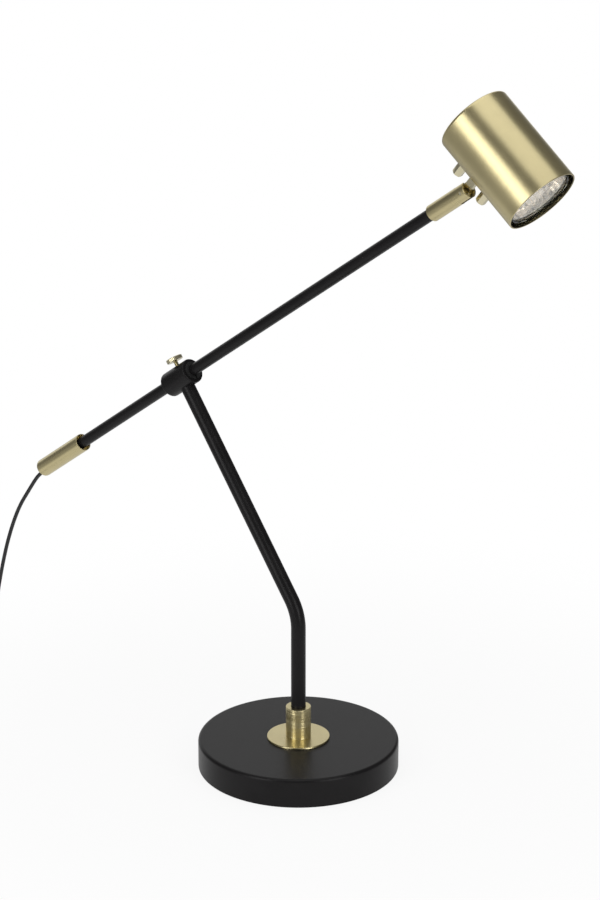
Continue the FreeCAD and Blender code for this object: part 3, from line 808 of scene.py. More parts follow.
    @classmethod
    def cut(cls, piece: bpy.types.Object, tool: bpy.types.Object, way: Cut = Cut.AWAY) -> None:
        """Cuts a piece with another or joins them, and takes the other away.

        Args:
            piece: the piece that stays.
            tool: the piece that goes.
            way: what the tool does.
        """
        cls.only(piece)
        modifier = piece.modifiers.new("cut", "BOOLEAN")
        modifier.operation = way.value
        modifier.object = tool
        modifier.solver = "EXACT"
        bpy.ops.object.modifier_apply(modifier="cut")
        bpy.data.objects.remove(tool)

    @classmethod
    def soften(cls, piece: bpy.types.Object, width: float, segments: int = 2, angle: float = 40.0) -> None:
        """Rounds a piece's sharp edges.

        Args:
            piece: the piece.
            width: how far from the edge the rounding starts.
            segments: how many flats it has.
            angle: the least turn of an edge, in degrees, that is rounded.
        """
        cls.only(piece)
        modifier = piece.modifiers.new("edge", "BEVEL")
        modifier.width = width
        modifier.segments = segments
        modifier.limit_method = "ANGLE"
        modifier.angle_limit = math.radians(angle)
        bpy.ops.object.modifier_apply(modifier="edge")

    @classmethod
    def together(cls, pieces: Sequence[bpy.types.Object]) -> bpy.types.Object:
        """Joins pieces.

        Args:
            pieces: the pieces.

        Returns:
            The first, which now holds them all.
        """
        cls.clear()
        for piece in pieces:
            piece.select_set(True)
        bpy.context.view_layer.objects.active = pieces[0]
        bpy.ops.object.join()
        return pieces[0]

    @classmethod
    def settled(cls, piece: bpy.types.Object, place: Matrix, angle: float = 35.0) -> bpy.types.Object:
        """Puts a piece in its place, which goes into its mesh, and smooths it.

        Args:
            piece: the piece.
            place: its own frame.
            angle: the least turn of an edge, in degrees, that stays sharp.

        Returns:
            The piece.
        """
        cls.only(piece)
        cls.fixed(piece, place)
        bpy.ops.object.shade_smooth_by_angle(angle=math.radians(angle))
        return piece


def finish_piece(
    piece: bpy.types.Object, material: bpy.types.Material, body: str, nodes: Iterable[str] = ()
) -> bpy.types.Object:
    """Dresses a new piece and puts it on its body.

    Args:
        piece: the piece, its mesh finished.
        material: what it is made of.
        body: the body that it rides on.
        nodes: the CAD nodes that it stands for.

    Returns:
        The piece.
    """
    piece.data.materials.clear()
    piece.data.materials.append(material)
    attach(piece, body)
    if nodes:
        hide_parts(*nodes)
    LOG.info("%s rides on %s, with %d faces", piece.name, body, len(piece.data.polygons))
    return piece


def dress(material: bpy.types.Material, *nodes: str) -> None:
    """Gives CAD nodes a material.

    Args:
        material: the material.
        nodes: the nodes' names.
    """
    for node in nodes:
        mesh = frame["nodes"][node].data
        mesh.materials.clear()
        mesh.materials.append(material)
        LOG.info("%s is dressed with %s", node, material.name)


# ---- lines of the lamp ---------------------------------------------------------------------------
def joint(name: str) -> dict:
    """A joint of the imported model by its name."""
    return next(item for item in frame["joints"] if item["name"] == name)


ARM_WAY = Vector(joint("arm_slide")["axis"])
HUB = Vector(joint("arm_roll")["pos_m"])
STEM_WAY = Vector(joint("thumbscrew_turn")["axis"])
PIN = Vector(joint("head_tilt")["pos_m"])
HEAD_DROP = 38.8
HEAD_WAY = Vector((math.cos(math.radians(HEAD_DROP)), 0.0, -math.sin(math.radians(HEAD_DROP))))
PLATE_WAY = Vector((-math.sin(math.radians(HEAD_DROP)), 0.0, -math.cos(math.radians(HEAD_DROP))))
TONGUE_BACK = 10.2 * MM
PIN_REACH = 46.6 * MM

BASE_AXIS = Axis(Vector(), UP)
ARM_AXIS = Axis(HUB, ARM_WAY)
STEM_AXIS = Axis(HUB, STEM_WAY)
HEAD_AXIS = Axis(PIN - PLATE_WAY * PIN_REACH + HEAD_WAY * TONGUE_BACK, HEAD_WAY)


# ---- cord ----------------------------------------------------------------------------------------
@dataclass(frozen=True)
class CordRoute:
    """The cord's route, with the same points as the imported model's."""

    length: float = 1.8
    diameter: float = 3.2 * MM
    tail_length: float = 199.5 * MM
    relief_proud: float = 0.5 * MM
    nose_length: float = 4.0 * MM
    nose_offset: float = 2.5 * MM
    inlet: Vector = Vector((-0.358, -0.046, 0.007))
    bearing: Vector = Vector((-0.3, -0.954, 0.0)).normalized()
    switch_length: float = 52.0 * MM
    coil_lift: float = 2.9 * MM
    coil_inner_radius: float = 14.3 * MM
    coil_pitch: float = 4.3 * MM
    coil_layer: float = 3.8 * MM
    coil_halves: int = 6
    coil_layers: int = 4
    coil_west: float = 50.0 * MM
    coil_north: float = 2.9 * MM
    coil_early_climb: float = 0.13
    coil_late_start: float = 0.3
    half_turn_points: int = 8
    plug_offset: float = 36.0 * MM

    def exit(self) -> Vector:
        """Where the cord leaves the handle's relief."""
        tip = self.tail_length + self.relief_proud + self.nose_length
        return ARM_AXIS.matrix() @ (UP * -tip) + self.below() * self.nose_offset

    @staticmethod
    def below() -> Vector:
        """Square to the arm, towards the table."""
        return Vector((ARM_WAY.z, 0.0, -ARM_WAY.x))

    def side(self) -> Vector:
        """To the right of the way the cord runs on the table."""
        return self.bearing.cross(UP)

    def outlet(self) -> Vector:
        """Where the cord leaves the switch."""
        return self.inlet + self.bearing * self.switch_length

    def coil_centre(self) -> Vector:
        """Works out where the coil lies.

        Returns:
            The middle of its lowest layer.
        """
        centre = self.outlet() + self.side() * self.coil_west - self.bearing * self.coil_north
        centre.z = self.coil_lift
        return centre

    def coil_outer(self) -> float:
        """The largest distance at which a turn crosses the coil's own line."""
        return self.coil_inner_radius + (self.coil_halves - 1) * self.coil_pitch / 2 + self.coil_pitch / 4

    def drop(self) -> list[Vector]:
        """Lists the points from the relief to the switch, down under the cord's own weight.

        Returns:
            The points, given one by one.
        """
        start = self.exit()
        return [
            start,
            start - ARM_WAY * 0.0055,
            Vector((-0.3015, 0.0, 0.161)),
            Vector((-0.315, -0.0005, 0.1415)),
            Vector((-0.327, -0.0015, 0.113)),
            Vector((-0.335, -0.003, 0.084)),
            Vector((-0.3405, -0.005, 0.055)),
            Vector((-0.3445, -0.0095, 0.029)),
            Vector((-0.349, -0.019, 0.0115)),
            self.inlet - self.bearing * 0.013,
            self.inlet,
        ]

    def link(self) -> list[Vector]:
        """Lists the points from the switch to the coil.

        Returns:
            The points, given one by one.
        """
        out = self.outlet()
        side = self.side()
        end = self.coil_start() - side * self.diameter
        return [
            out,
            out + self.bearing * 0.0095,
            out + self.bearing * 0.018 + side * 0.0049 - UP * 0.0008,
            out + self.bearing * 0.023 + side * 0.0134 - UP * 0.002,
            out + self.bearing * 0.0243 + side * 0.028 - UP * 0.0034,
            end - side * 0.009,
            end,
        ]

    def coil_start(self) -> Vector:
        """Where the first turn begins."""
        return self.coil_centre() + self.bearing * self.coil_outer()

    def crossings(self) -> list[tuple[float, int]]:
        """Works out where each half turn ends.

        Returns:
            Each end's distance from the coil's middle, and its layer.
        """
        halves = range(self.coil_halves + 1)
        inward = [self.coil_outer() - self.coil_pitch / 2 * half for half in halves]
        found = []
        for layer in range(self.coil_layers):
            order = inward if layer % 2 == 0 else inward[::-1]
            found.extend((distance, layer) for distance in order[:-1])
        return found

    def coil(self) -> list[Vector]:
        """Winds the coil in and out again, a layer at a time.

        Returns:
            The points that draw its smooth line.
        """
        centre = self.coil_centre()
        side = self.side()
        points = []
        hand = 1
        crossings = self.crossings()
        for first, second in zip(crossings, crossings[1:]):
            radius = (first[0] + second[0]) / 2
            offset = hand * (first[0] - second[0]) / 2
            climb = (second[1] - first[1]) * self.coil_layer
            low = first[1] * self.coil_layer
            for step in range(self.half_turn_points):
                share = (step + 0.5) / self.half_turn_points
                angle = math.pi * share
                swell = radius / math.sqrt(math.cos(math.pi / self.half_turn_points / 2))
                along = offset + hand * swell * math.cos(angle)
                across = hand * swell * math.sin(angle)
                rise = self._rise(share) * climb
                points.append(centre + self.bearing * along + side * across + UP * (low + rise))
            hand = -hand
        return points

    def _rise(self, share: float) -> float:
        """How much of a climb is made late in its half turn, so that it clears the turn below.

        Args:
            share: how much of the half turn is done.

        Returns:
            How much of the climb is done.
        """
        early = self.coil_early_climb
        if share < 0.5:
            return early * (2 * share) ** 2
        late = 2 * share - 1
        return early + (1 - early) * late * math.sqrt(2 - late) * late ** self.coil_late_start

    def coil_exit(self) -> Vector:
        """Where the cord leaves the coil."""
        reach, layer = self.crossings()[-1]
        point = self.coil_centre() - self.bearing * reach - self.side() * self.diameter
        return point + UP * (layer * self.coil_layer)

    def plug_inlet(self) -> Vector:
        """Works out where the cord goes into the plug.

        Returns:
            The point, at the height at which switch and plug hold the cord up.
        """
        point = self.coil_exit() - self.bearing * self.plug_offset - self.side() * 0.0005
        point.z = self.inlet.z
        return point

    def tail(self) -> list[Vector]:
        """Lists the points from the coil to the plug.

        Returns:
            The points, given one by one.
        """
        out = self.coil_exit()
        side = self.side()
        plug = self.plug_inlet()
        return [
            out,
            out - side * 0.0145,
            out - side * 0.0245 - self.bearing * 0.010 - UP * 0.0035,
            out - side * 0.0255 - self.bearing * 0.0255 - UP * 0.006,
            plug - side * 0.0145,
            plug,
        ]

    def points(self) -> list[Vector]:
        """The whole route, through the switch."""
        return self.drop() + self.link() + self.coil() + self.tail()


@dataclass
class Cord:
    """The mains cord, from the handle's relief to the plug."""

    route: CordRoute = CordRoute()
    body: str = "stand"
    ring_sides: int = 14
    line_steps: int = 6
    still_point: int = 7

    def smooth_line(self) -> list[Vector]:
        """Draws the smooth line that the route's points control.

        Returns:
            Points close together, read from a spline with the route as its control points.
        """
        points = self.route.points()
        curve = bpy.data.curves.new("cord_line", "CURVE")
        curve.dimensions = "3D"
        spline = curve.splines.new("NURBS")
        spline.points.add(len(points) - 1)
        for control, point in zip(spline.points, points):
            control.co = (*point, 1.0)
        spline.order_u = 3
        spline.use_endpoint_u = True
        spline.resolution_u = self.line_steps
        carrier = bpy.data.objects.new("cord_line", curve)
        bpy.context.scene.collection.objects.link(carrier)
        mesh = bpy.data.meshes.new_from_object(carrier)
        line = [vertex.co.copy() for vertex in mesh.vertices]
        bpy.data.objects.remove(carrier)
        bpy.data.meshes.remove(mesh)
        return line

    def tube(self, name: str, line: Sequence[Vector], radius: float) -> bpy.types.Object:
        """Makes a closed round tube along a line, its rings carried along without twist.

        Args:
            name: the piece's name.
            line: points close together.
            radius: the tube's radius.

        Returns:
            The tube, a smooth mesh.
        """
        ways = [(after - before).normalized() for before, after in zip(line, line[1:])]
        ways.append(ways[-1])
        side = ways[0].orthogonal().normalized()
        vertices = []
        for index, (point, way) in enumerate(zip(line, ways)):
            if index:
                way = (ways[index - 1] + way).normalized()
            side = (side - way * side.dot(way)).normalized()
            other = way.cross(side)
            for step in range(self.ring_sides):
                angle = math.tau * step / self.ring_sides
                vertices.append(point + (side * math.cos(angle) + other * math.sin(angle)) * radius)
        faces = []
        for ring in range(len(line) - 1):
            for step in range(self.ring_sides):
                following = (step + 1) % self.ring_sides
                low = ring * self.ring_sides
                high = low + self.ring_sides
                faces.append((low + step, low + following, high + following, high + step))
        last = (len(line) - 1) * self.ring_sides
        faces.append(tuple(reversed(range(self.ring_sides))))
        faces.append(tuple(range(last, last + self.ring_sides)))
        mesh = bpy.data.meshes.new(name)
        mesh.from_pydata(vertices, [], faces)
        mesh.polygons.foreach_set("use_smooth", [True] * len(mesh.polygons))
        mesh.update()
        piece = bpy.data.objects.new(name, mesh)
        bpy.context.scene.collection.objects.link(piece)
        return piece

    def build(self, jacket: bpy.types.Material, with_pieces: Sequence[str]) -> bpy.types.Object:
        """Args:
            jacket: the cord's material.
            with_pieces: the names of what is on it; not used.

        Returns:
            The cord.
        """
        line = self.smooth_line()
        piece = self.tube("mains_cord", line, self.route.diameter / 2)
        piece.data.materials.append(jacket)
        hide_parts("cord_drop", "cord_link", "cord_coil", "cord_tail")
        still = self.route.drop()[self.still_point]
        self.route.exit()
        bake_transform(piece)
        length = sum((after - before).length for before, after in zip(line, line[1:]))
        self.route.exit()
        LOG.info("mains_cord is %.3f m long", length)
        return piece


# ---- studio --------------------------------------------------------------------------------------
@dataclass(frozen=True)
class SoftBox:
    """A soft light that faces the lamp."""

    name: str
    place: Vector
    width: float
    height: float
    power: float
    target: Vector = Vector((0.0, 0.0, 0.32))

    def build(self) -> None:
        """Adds the light and turns it to its target."""
        Bench.clear()
        bpy.ops.object.light_add(type="AREA", location=self.place)
        lamp = bpy.context.object
        lamp.name = self.name
        lamp.data.shape = "RECTANGLE"
        lamp.data.size = self.width
        lamp.data.size_y = self.height
        lamp.data.energy = self.power
        lamp.rotation_euler = (self.target - self.place).to_track_quat("-Z", "Y").to_euler()


@dataclass
class Studio:
    """The camera, the pale floor, the white background and the lights."""

    lens: float = 120.0
    film_height: float = 36.0
    camera_place: Vector = Vector((1.4308, -1.6440, 1.0440))
    camera_pitch: float = 19.623
    camera_heading: float = 41.0
    fill: float = 0.5
    sides: int = 96
    floor_radius: float = 6.0
    floor_colour: tuple[float, float, float, float] = (0.85, 0.85, 0.85, 1.0)
    near_floor: float = 0.5
    dim_floor: float = 0.75
    dim_glow: float = 0.3
    near_glow: float = 0.88
    glossy_glow: float = 0.68
    shadow_from: float = 0.15
    shadow_to: float = 0.55
    wall_radius: float = 4.0
    wall_height: float = 7.0
    wall_foot: float = -0.5
    wall_grey: float = 0.12
    wall_pale: float = 0.66
    pale_way: Vector = Vector((-0.799, 0.602, 0.0))
    pale_from: float = 0.743
    pale_to: float = 0.927
    low_gain: float = 1.35
    low_from: float = 1.6
    low_to: float = 0.6
    behind_glass: float = 0.95

    def build(self) -> None:
        """Builds the studio."""
        self._camera()
        self._world()
        self._floor()
        self._walls()
        for box in self._lights():
            box.build()
        bpy.context.scene.view_settings.view_transform = "Standard"

    def _camera(self) -> None:
        """Adds the camera at the photograph's viewing angle."""
        Bench.clear()
        turn = (math.radians(90 - self.camera_pitch), 0.0, math.radians(self.camera_heading))
        bpy.ops.object.camera_add(location=self.camera_place, rotation=turn)
        camera = bpy.context.object
        camera.name = "photo_camera"
        camera.data.sensor_fit = "VERTICAL"
        camera.data.sensor_height = self.film_height
        camera.data.lens = self.lens
        bpy.context.scene.camera = camera

    @staticmethod
    def _seen(tree: Nodes) -> Value:
        """1 for rays from the camera, off metal and through glass."""
        return tree.ray(Ray.CAMERA).larger(tree.ray(Ray.GLOSSY).larger(tree.ray(Ray.TRANSMISSION)))

    @staticmethod
    def _off_metal(tree: Nodes) -> Value:
        """1 for rays off metal and gloss that haven't come through glass."""
        return tree.ray(Ray.GLOSSY) * (1.0 - tree.ray(Ray.TRANSMISSION))

    def _world(self) -> None:
        """A white background over a soft fill."""
        world = bpy.data.worlds.new("studio")
        bpy.context.scene.world = world
        world.use_nodes = True
        tree = Nodes(world.node_tree)
        strength = self._seen(tree).between(self.fill, 1.0)
        shader = tree.node("ShaderNodeBackground", {}, {"Color": WHITE, "Strength": strength})
        tree.output(shader, "ShaderNodeOutputWorld")

    def _floor(self) -> None:
        """A pale floor that stays white and keeps the lamp's shadow."""
        Bench.clear()
        bpy.ops.mesh.primitive_circle_add(vertices=self.sides, radius=self.floor_radius, fill_type="NGON")
        floor = bpy.context.object
        floor.name = "floor"
        material, tree = new_material("floor")
        reach = tree.vector("LENGTH", tree.place(), output="Value")
        gloss = self._off_metal(tree)
        matt = tree.node("ShaderNodeBsdfDiffuse", {}, {"Color": self.floor_colour})
        spread = reach.step(self.shadow_from, self.shadow_to).between(self.near_glow, 1.0)
        glow = tree.glow(gloss.between(1.0, self.glossy_glow))
        near = tree.blend_shaders(self._seen(tree) * spread, matt, glow)
        far = gloss * reach.step(self.near_floor, self.dim_floor)
        tree.output(tree.blend_shaders(far, near, tree.glow(self.dim_glow)))
        floor.data.materials.append(material)

    def _walls(self) -> None:
        """Dim studio walls, which only metal and gloss see between the soft boxes."""
        Bench.clear()
        middle = UP * (self.wall_foot + self.wall_height / 2)
        bpy.ops.mesh.primitive_cylinder_add(
            vertices=self.sides, radius=self.wall_radius, depth=self.wall_height, location=middle
        )
        bpy.ops.object.transform_apply(location=True)
        walls = bpy.context.object
        walls.name = "studio_walls"
        material, tree = new_material("studio_walls")
        facing = tree.dot(tree.place(), self.pale_way / self.wall_radius)
        height = tree.dot(tree.place(), UP)
        low = height.step(self.low_from, self.low_to).between(1.0, self.low_gain)
        strength = facing.step(self.pale_from, self.pale_to).between(self.wall_grey, self.wall_pale) * low
        dim = self._off_metal(tree)
        strength = strength * dim + (1.0 - dim) * self.behind_glass
        tree.output(tree.glow(strength))
        walls.data.materials.append(material)
        for ray in ("camera", "diffuse", "transmission", "shadow", "volume_scatter"):
            setattr(walls, "visible_" + ray, False)

    @staticmethod
    def _lights() -> list[SoftBox]:
        """Places the lights.

        Returns:
            A soft box on each side of the camera, and one overhead.
        """
        above = Vector((0.15, -0.05, 1.75))
        below = Vector((0.15, -0.05, 0.0))
        return [
            SoftBox("left_box", Vector((-0.05, -1.25, 0.60)), width=0.55, height=1.16, power=5.2),
            SoftBox("right_box", Vector((1.25, -0.23, 0.55)), width=0.5, height=1.0, power=4.6),
            SoftBox("top_box", above, width=1.5, height=1.5, power=7.2, target=below),
        ]


# ---- finishes in use -----------------------------------------------------------------------------
class Finishes:
    """The lamp's finishes, each built once."""

    head_bore: float = 27.6 * MM
    head_bore_floor: float = -39.4 * MM

    def __init__(self) -> None:
        """Builds every finish."""
        self.black = PowderCoat("black_powder_coat").material()
        self._brasses()
        self._moulded()
        self.zinc = Steel("zinc_plated_steel").material()
        self.dark_steel = Steel("blackened_steel", (0.11, 0.11, 0.115), 0.4).material()
        self.glass = ClearGlass("lamp_glass", ior=1.3).material()
        self.rim_glass = ClearGlass("coated_glass", (0.84, 0.93, 0.96)).material()
        self.mirror = FacetedMirror("facet_mirror").material()

    def _brasses(self) -> None:
        """Builds the brass of the head, the arm, the stand and the small fittings."""
        self.head_brass = Brass(
            "head_brass",
            axis=tuple(HEAD_WAY),
            roughness=0.30,
            spread=0.14,
            # painted shade inside the head's shell, out to this radius and back to this floor
            bore_radius=self.head_bore,
            bore_origin=tuple(HEAD_AXIS.origin),
            bore_floor=self.head_bore_floor,
        ).material()
        self.arm_brass = Brass("arm_brass", axis=tuple(ARM_WAY), roughness=0.28, spread=0.16).material()
        self.stand_brass = Brass("stand_brass", roughness=0.28, spread=2.3).material()
        pale_brass = (0.84, 0.77, 0.53)
        fittings = Brass("screw_brass", brushing=Brushing.POLISHED, colour=pale_brass, roughness=0.2)
        self.screw_brass = fittings.material()

    def _moulded(self) -> None:
        """Builds what is cast or moulded."""
        self.iron = Moulded("cast_iron", (0.05, 0.05, 0.052), 0.7, 700.0, 0.3 * MM).material()
        self.rubber = Moulded("soft_rubber", (0.02, 0.02, 0.021), 0.75, 2200.0).material()
        self.nylon = Moulded("black_nylon", (0.009, 0.009, 0.009), 0.5).material()
        self.jacket = Moulded("cord_jacket", (0.011, 0.011, 0.012), 0.45, 2600.0).material()
        self.plastic = Moulded("switch_plastic", (0.02, 0.02, 0.022), 0.35).material()
        self.tie = Moulded("tie_strap", (0.025, 0.025, 0.027), 0.55, 2400.0, 0.2 * MM).material()
        self.ceramic = Moulded("glazed_ceramic", (0.80, 0.78, 0.72), 0.45, 900.0).material()


# ---- base and stem -------------------------------------------------------------------------------
@dataclass
class Base:
    """The weighted round base under its steel cover."""

    radius: float = 80.0 * MM
    height: float = 24.0 * MM
    lift: float = 0.6 * MM
    wall: float = 1.2 * MM
    edge: float = 2.5 * MM
    hem: float = 0.35 * MM
    hole: float = 5.3 * MM

    def build(self, finishes: Finishes) -> None:
        """Spins the cover and dresses what is under it.

        Args:
            finishes: the lamp's finishes.
        """
        inside = self.radius - self.wall
        corners = [
            Corner(self.hole, self.height),
            Corner(self.radius, self.height, self.edge),
            Corner(self.radius, self.lift, self.hem),
            Corner(inside, self.lift, self.hem),
            Corner(inside, self.height - self.wall, self.edge - self.wall),
            Corner(self.hole, self.height - self.wall),
        ]
        cover = Bench.turned("base_shell", Bench.outline(corners, closed=True), BASE_AXIS, Fineness.WIDE)
        finish_piece(cover, finishes.black, "stand", ["base_cover"])
        dress(finishes.iron, "base_weight")
        dress(finishes.rubber, "base_pad")
        dress(finishes.zinc, "base_washer", "base_bolt")


@dataclass
class Collar:
    """The brass flange and collar that hold the stem."""

    base_top: float = Base.height
    flange_radius: float = 25.0 * MM
    flange_thickness: float = 1.5 * MM
    flange_edge: float = 0.5 * MM
    hole: float = Base.hole
    radius: float = 10.0 * MM
    height: float = 25.3 * MM
    edge: float = 0.5 * MM
    bolt: float = 5.0 * MM
    floor: float = 8.5 * MM
    bore: float = 5.9 * MM
    grub_height: float = 16.0 * MM
    grub_radius: float = 2.0 * MM
    grub_bearing: float = 135.0
    drill_past: float = 1.5

    def build(self, finishes: Finishes) -> None:
        """Spins the flange and the collar, and drills the collar for its grub screw.

        Args:
            finishes: the lamp's finishes.
        """
        top = self.base_top + self.flange_thickness
        flange_corners = [
            Corner(self.hole, self.base_top),
            Corner(self.flange_radius, self.base_top, self.edge / 3),
            Corner(self.flange_radius, top, self.flange_edge),
            Corner(self.hole, top),
        ]
        flange = Bench.turned("collar_flange", Bench.outline(flange_corners, closed=True), BASE_AXIS)
        finish_piece(flange, finishes.stand_brass, "stand", ["flange_plate"])
        high = top + self.height
        collar_corners = [
            Corner(self.bolt, top),
            Corner(self.radius, top, self.edge / 3),
            Corner(self.radius, high, self.edge),
            Corner(self.bore, high, self.edge / 2),
            Corner(self.bore, top + self.floor),
            Corner(self.bolt, top + self.floor),
        ]
        collar = Bench.turned("stem_socket", Bench.outline(collar_corners, closed=True), BASE_AXIS)
        angle = math.radians(self.grub_bearing)
        outward = Vector((math.cos(angle), math.sin(angle), 0.0))
        drill = Axis(UP * (top + self.grub_height), outward, UP).matrix()
        Bench.cut(collar, Bench.rod(self.grub_radius, self.bore, self.radius * self.drill_past, drill))
        Bench.settled(collar, IN_PLACE)
        finish_piece(collar, finishes.stand_brass, "stand", ["stem_collar"])
        dress(finishes.dark_steel, "collar_grub_screw")


@dataclass
class Stem:
    """The bent steel tube between the collar and the sleeve."""

    radius: float = 5.85 * MM
    foot: float = 34.0 * MM
    bend_height: float = 130.2 * MM
    bend_radius: float = 40.0 * MM
    lean: float = 35.5
    upper_length: float = 208.8 * MM
    sleeve_cover: float = 7.0 * MM
    sides: int = 64
    bend_steps: int = 20

    def build(self, finishes: Finishes) -> None:
        """Draws a ring up, round the bend and on to the sleeve.

        Args:
            finishes: the lamp's finishes.
        """
        stem = Bench.disc("bent_stem", self.sides, self.radius)
        Bench.fixed(stem, Matrix.Translation(UP * self.foot))
        lead = self.bend_radius * math.tan(math.radians(self.lean / 2))
        rise = self.bend_height - lead - self.foot
        reach = self.upper_length - lead - self.sleeve_cover
        Bench.pick(stem, lambda middle, normal: True)
        bpy.ops.mesh.extrude_region_move(TRANSFORM_OT_translate={"value": UP * rise})
        bpy.ops.mesh.spin(
            steps=self.bend_steps,
            angle=math.radians(self.lean),
            center=(-self.bend_radius, 0.0, self.bend_height - lead),
            axis=ACROSS,
        )
        bpy.ops.mesh.extrude_region_move(TRANSFORM_OT_translate={"value": STEM_WAY * reach})
        Bench.closed_up()
        Bench.settled(stem, IN_PLACE)
        finish_piece(stem, finishes.black, "stand", ["stem_tube"])


# ---- sleeve and thumbscrew -----------------------------------------------------------------------
@dataclass
class Sleeve:
    """The sleeve on the stem's end, which the arm slides and rolls in."""

    radius: float = 10.1 * MM
    tail_reach: float = 16.7 * MM
    head_reach: float = 13.0 * MM
    edge: float = 1.0 * MM
    bore: float = 6.03 * MM

    def build(self, finishes: Finishes) -> None:
        """Spins the sleeve and dresses its bush.

        Args:
            finishes: the lamp's finishes.
        """
        corners = [
            Corner(self.bore, -self.tail_reach, self.edge / 4),
            Corner(self.radius, -self.tail_reach, self.edge),
            Corner(self.radius, self.head_reach, self.edge),
            Corner(self.bore, self.head_reach, self.edge / 4),
        ]
        sleeve = Bench.turned("slide_sleeve", Bench.outline(corners, closed=True), ARM_AXIS)
        finish_piece(sleeve, finishes.black, "stand", ["arm_sleeve"])
        dress(finishes.nylon, "sleeve_bush")


@dataclass
class Thumbscrew:
    """The fluted brass screw that sets the arm's grip."""

    tip: float = 6.15 * MM
    shank: float = 1.8 * MM
    thread_root: float = 1.5 * MM
    pitch: float = 0.7 * MM
    sleeve_top: float = Sleeve.radius
    neck: float = 3.8 * MM
    head_radius: float = 6.7 * MM
    head_height: float = 3.1 * MM
    flutes: int = 28
    flute_points: int = 4
    flute_root: float = 0.98
    edge: float = 0.3 * MM
    dish: float = 1.3 * MM
    dish_depth: float = 0.35 * MM
    smooth_angle: float = 25.0

    def build(self, finishes: Finishes) -> None:
        """Draws up the fluted head, dishes it and joins the threaded shank.

        Args:
            finishes: the lamp's finishes.
        """
        under = self.sleeve_top + self.neck
        head = Bench.disc("thumbscrew_head", self.flutes * self.flute_points, self.head_radius)
        Bench.pick_corners(head, lambda number, place: number % self.flute_points == 0)
        inward = (self.flute_root, self.flute_root, 1.0)
        bpy.ops.transform.resize(value=inward, center_override=(0.0, 0.0, 0.0))
        Bench.raise_face(head, self.head_height, self.edge)
        Bench.pick(head, lambda middle, normal: normal.z > Bench.facing)
        bpy.ops.mesh.inset(thickness=self.dish)
        bpy.ops.mesh.inset(thickness=self.dish_depth, depth=-self.dish_depth)
        Bench.settled(head, STEM_AXIS.matrix() @ Matrix.Translation(UP * under), self.smooth_angle)
        screw = Bench.together([head, self._shank(under + self.edge)])
        finish_piece(screw, finishes.screw_brass, "thumbscrew", ["thumbscrew"])

    def _shank(self, top: float) -> bpy.types.Object:
        """Spins the shank with a ridge for each turn of its thread.

        Args:
            top: where it ends, inside the head.

        Returns:
            The shank.
        """
        turns = int((self.sleeve_top + self.neck - self.tip) / self.pitch)
        points = [UP * self.tip]
        for turn in range(turns):
            low = self.tip + turn * self.pitch
            points.append(Vector((self.thread_root, 0.0, low)))
            points.append(Vector((self.shank, 0.0, low + self.pitch / 2)))
        points += [Vector((self.thread_root, 0.0, top)), UP * top]
        return Bench.turned("thumbscrew_shank", points, STEM_AXIS, Fineness.THREAD)


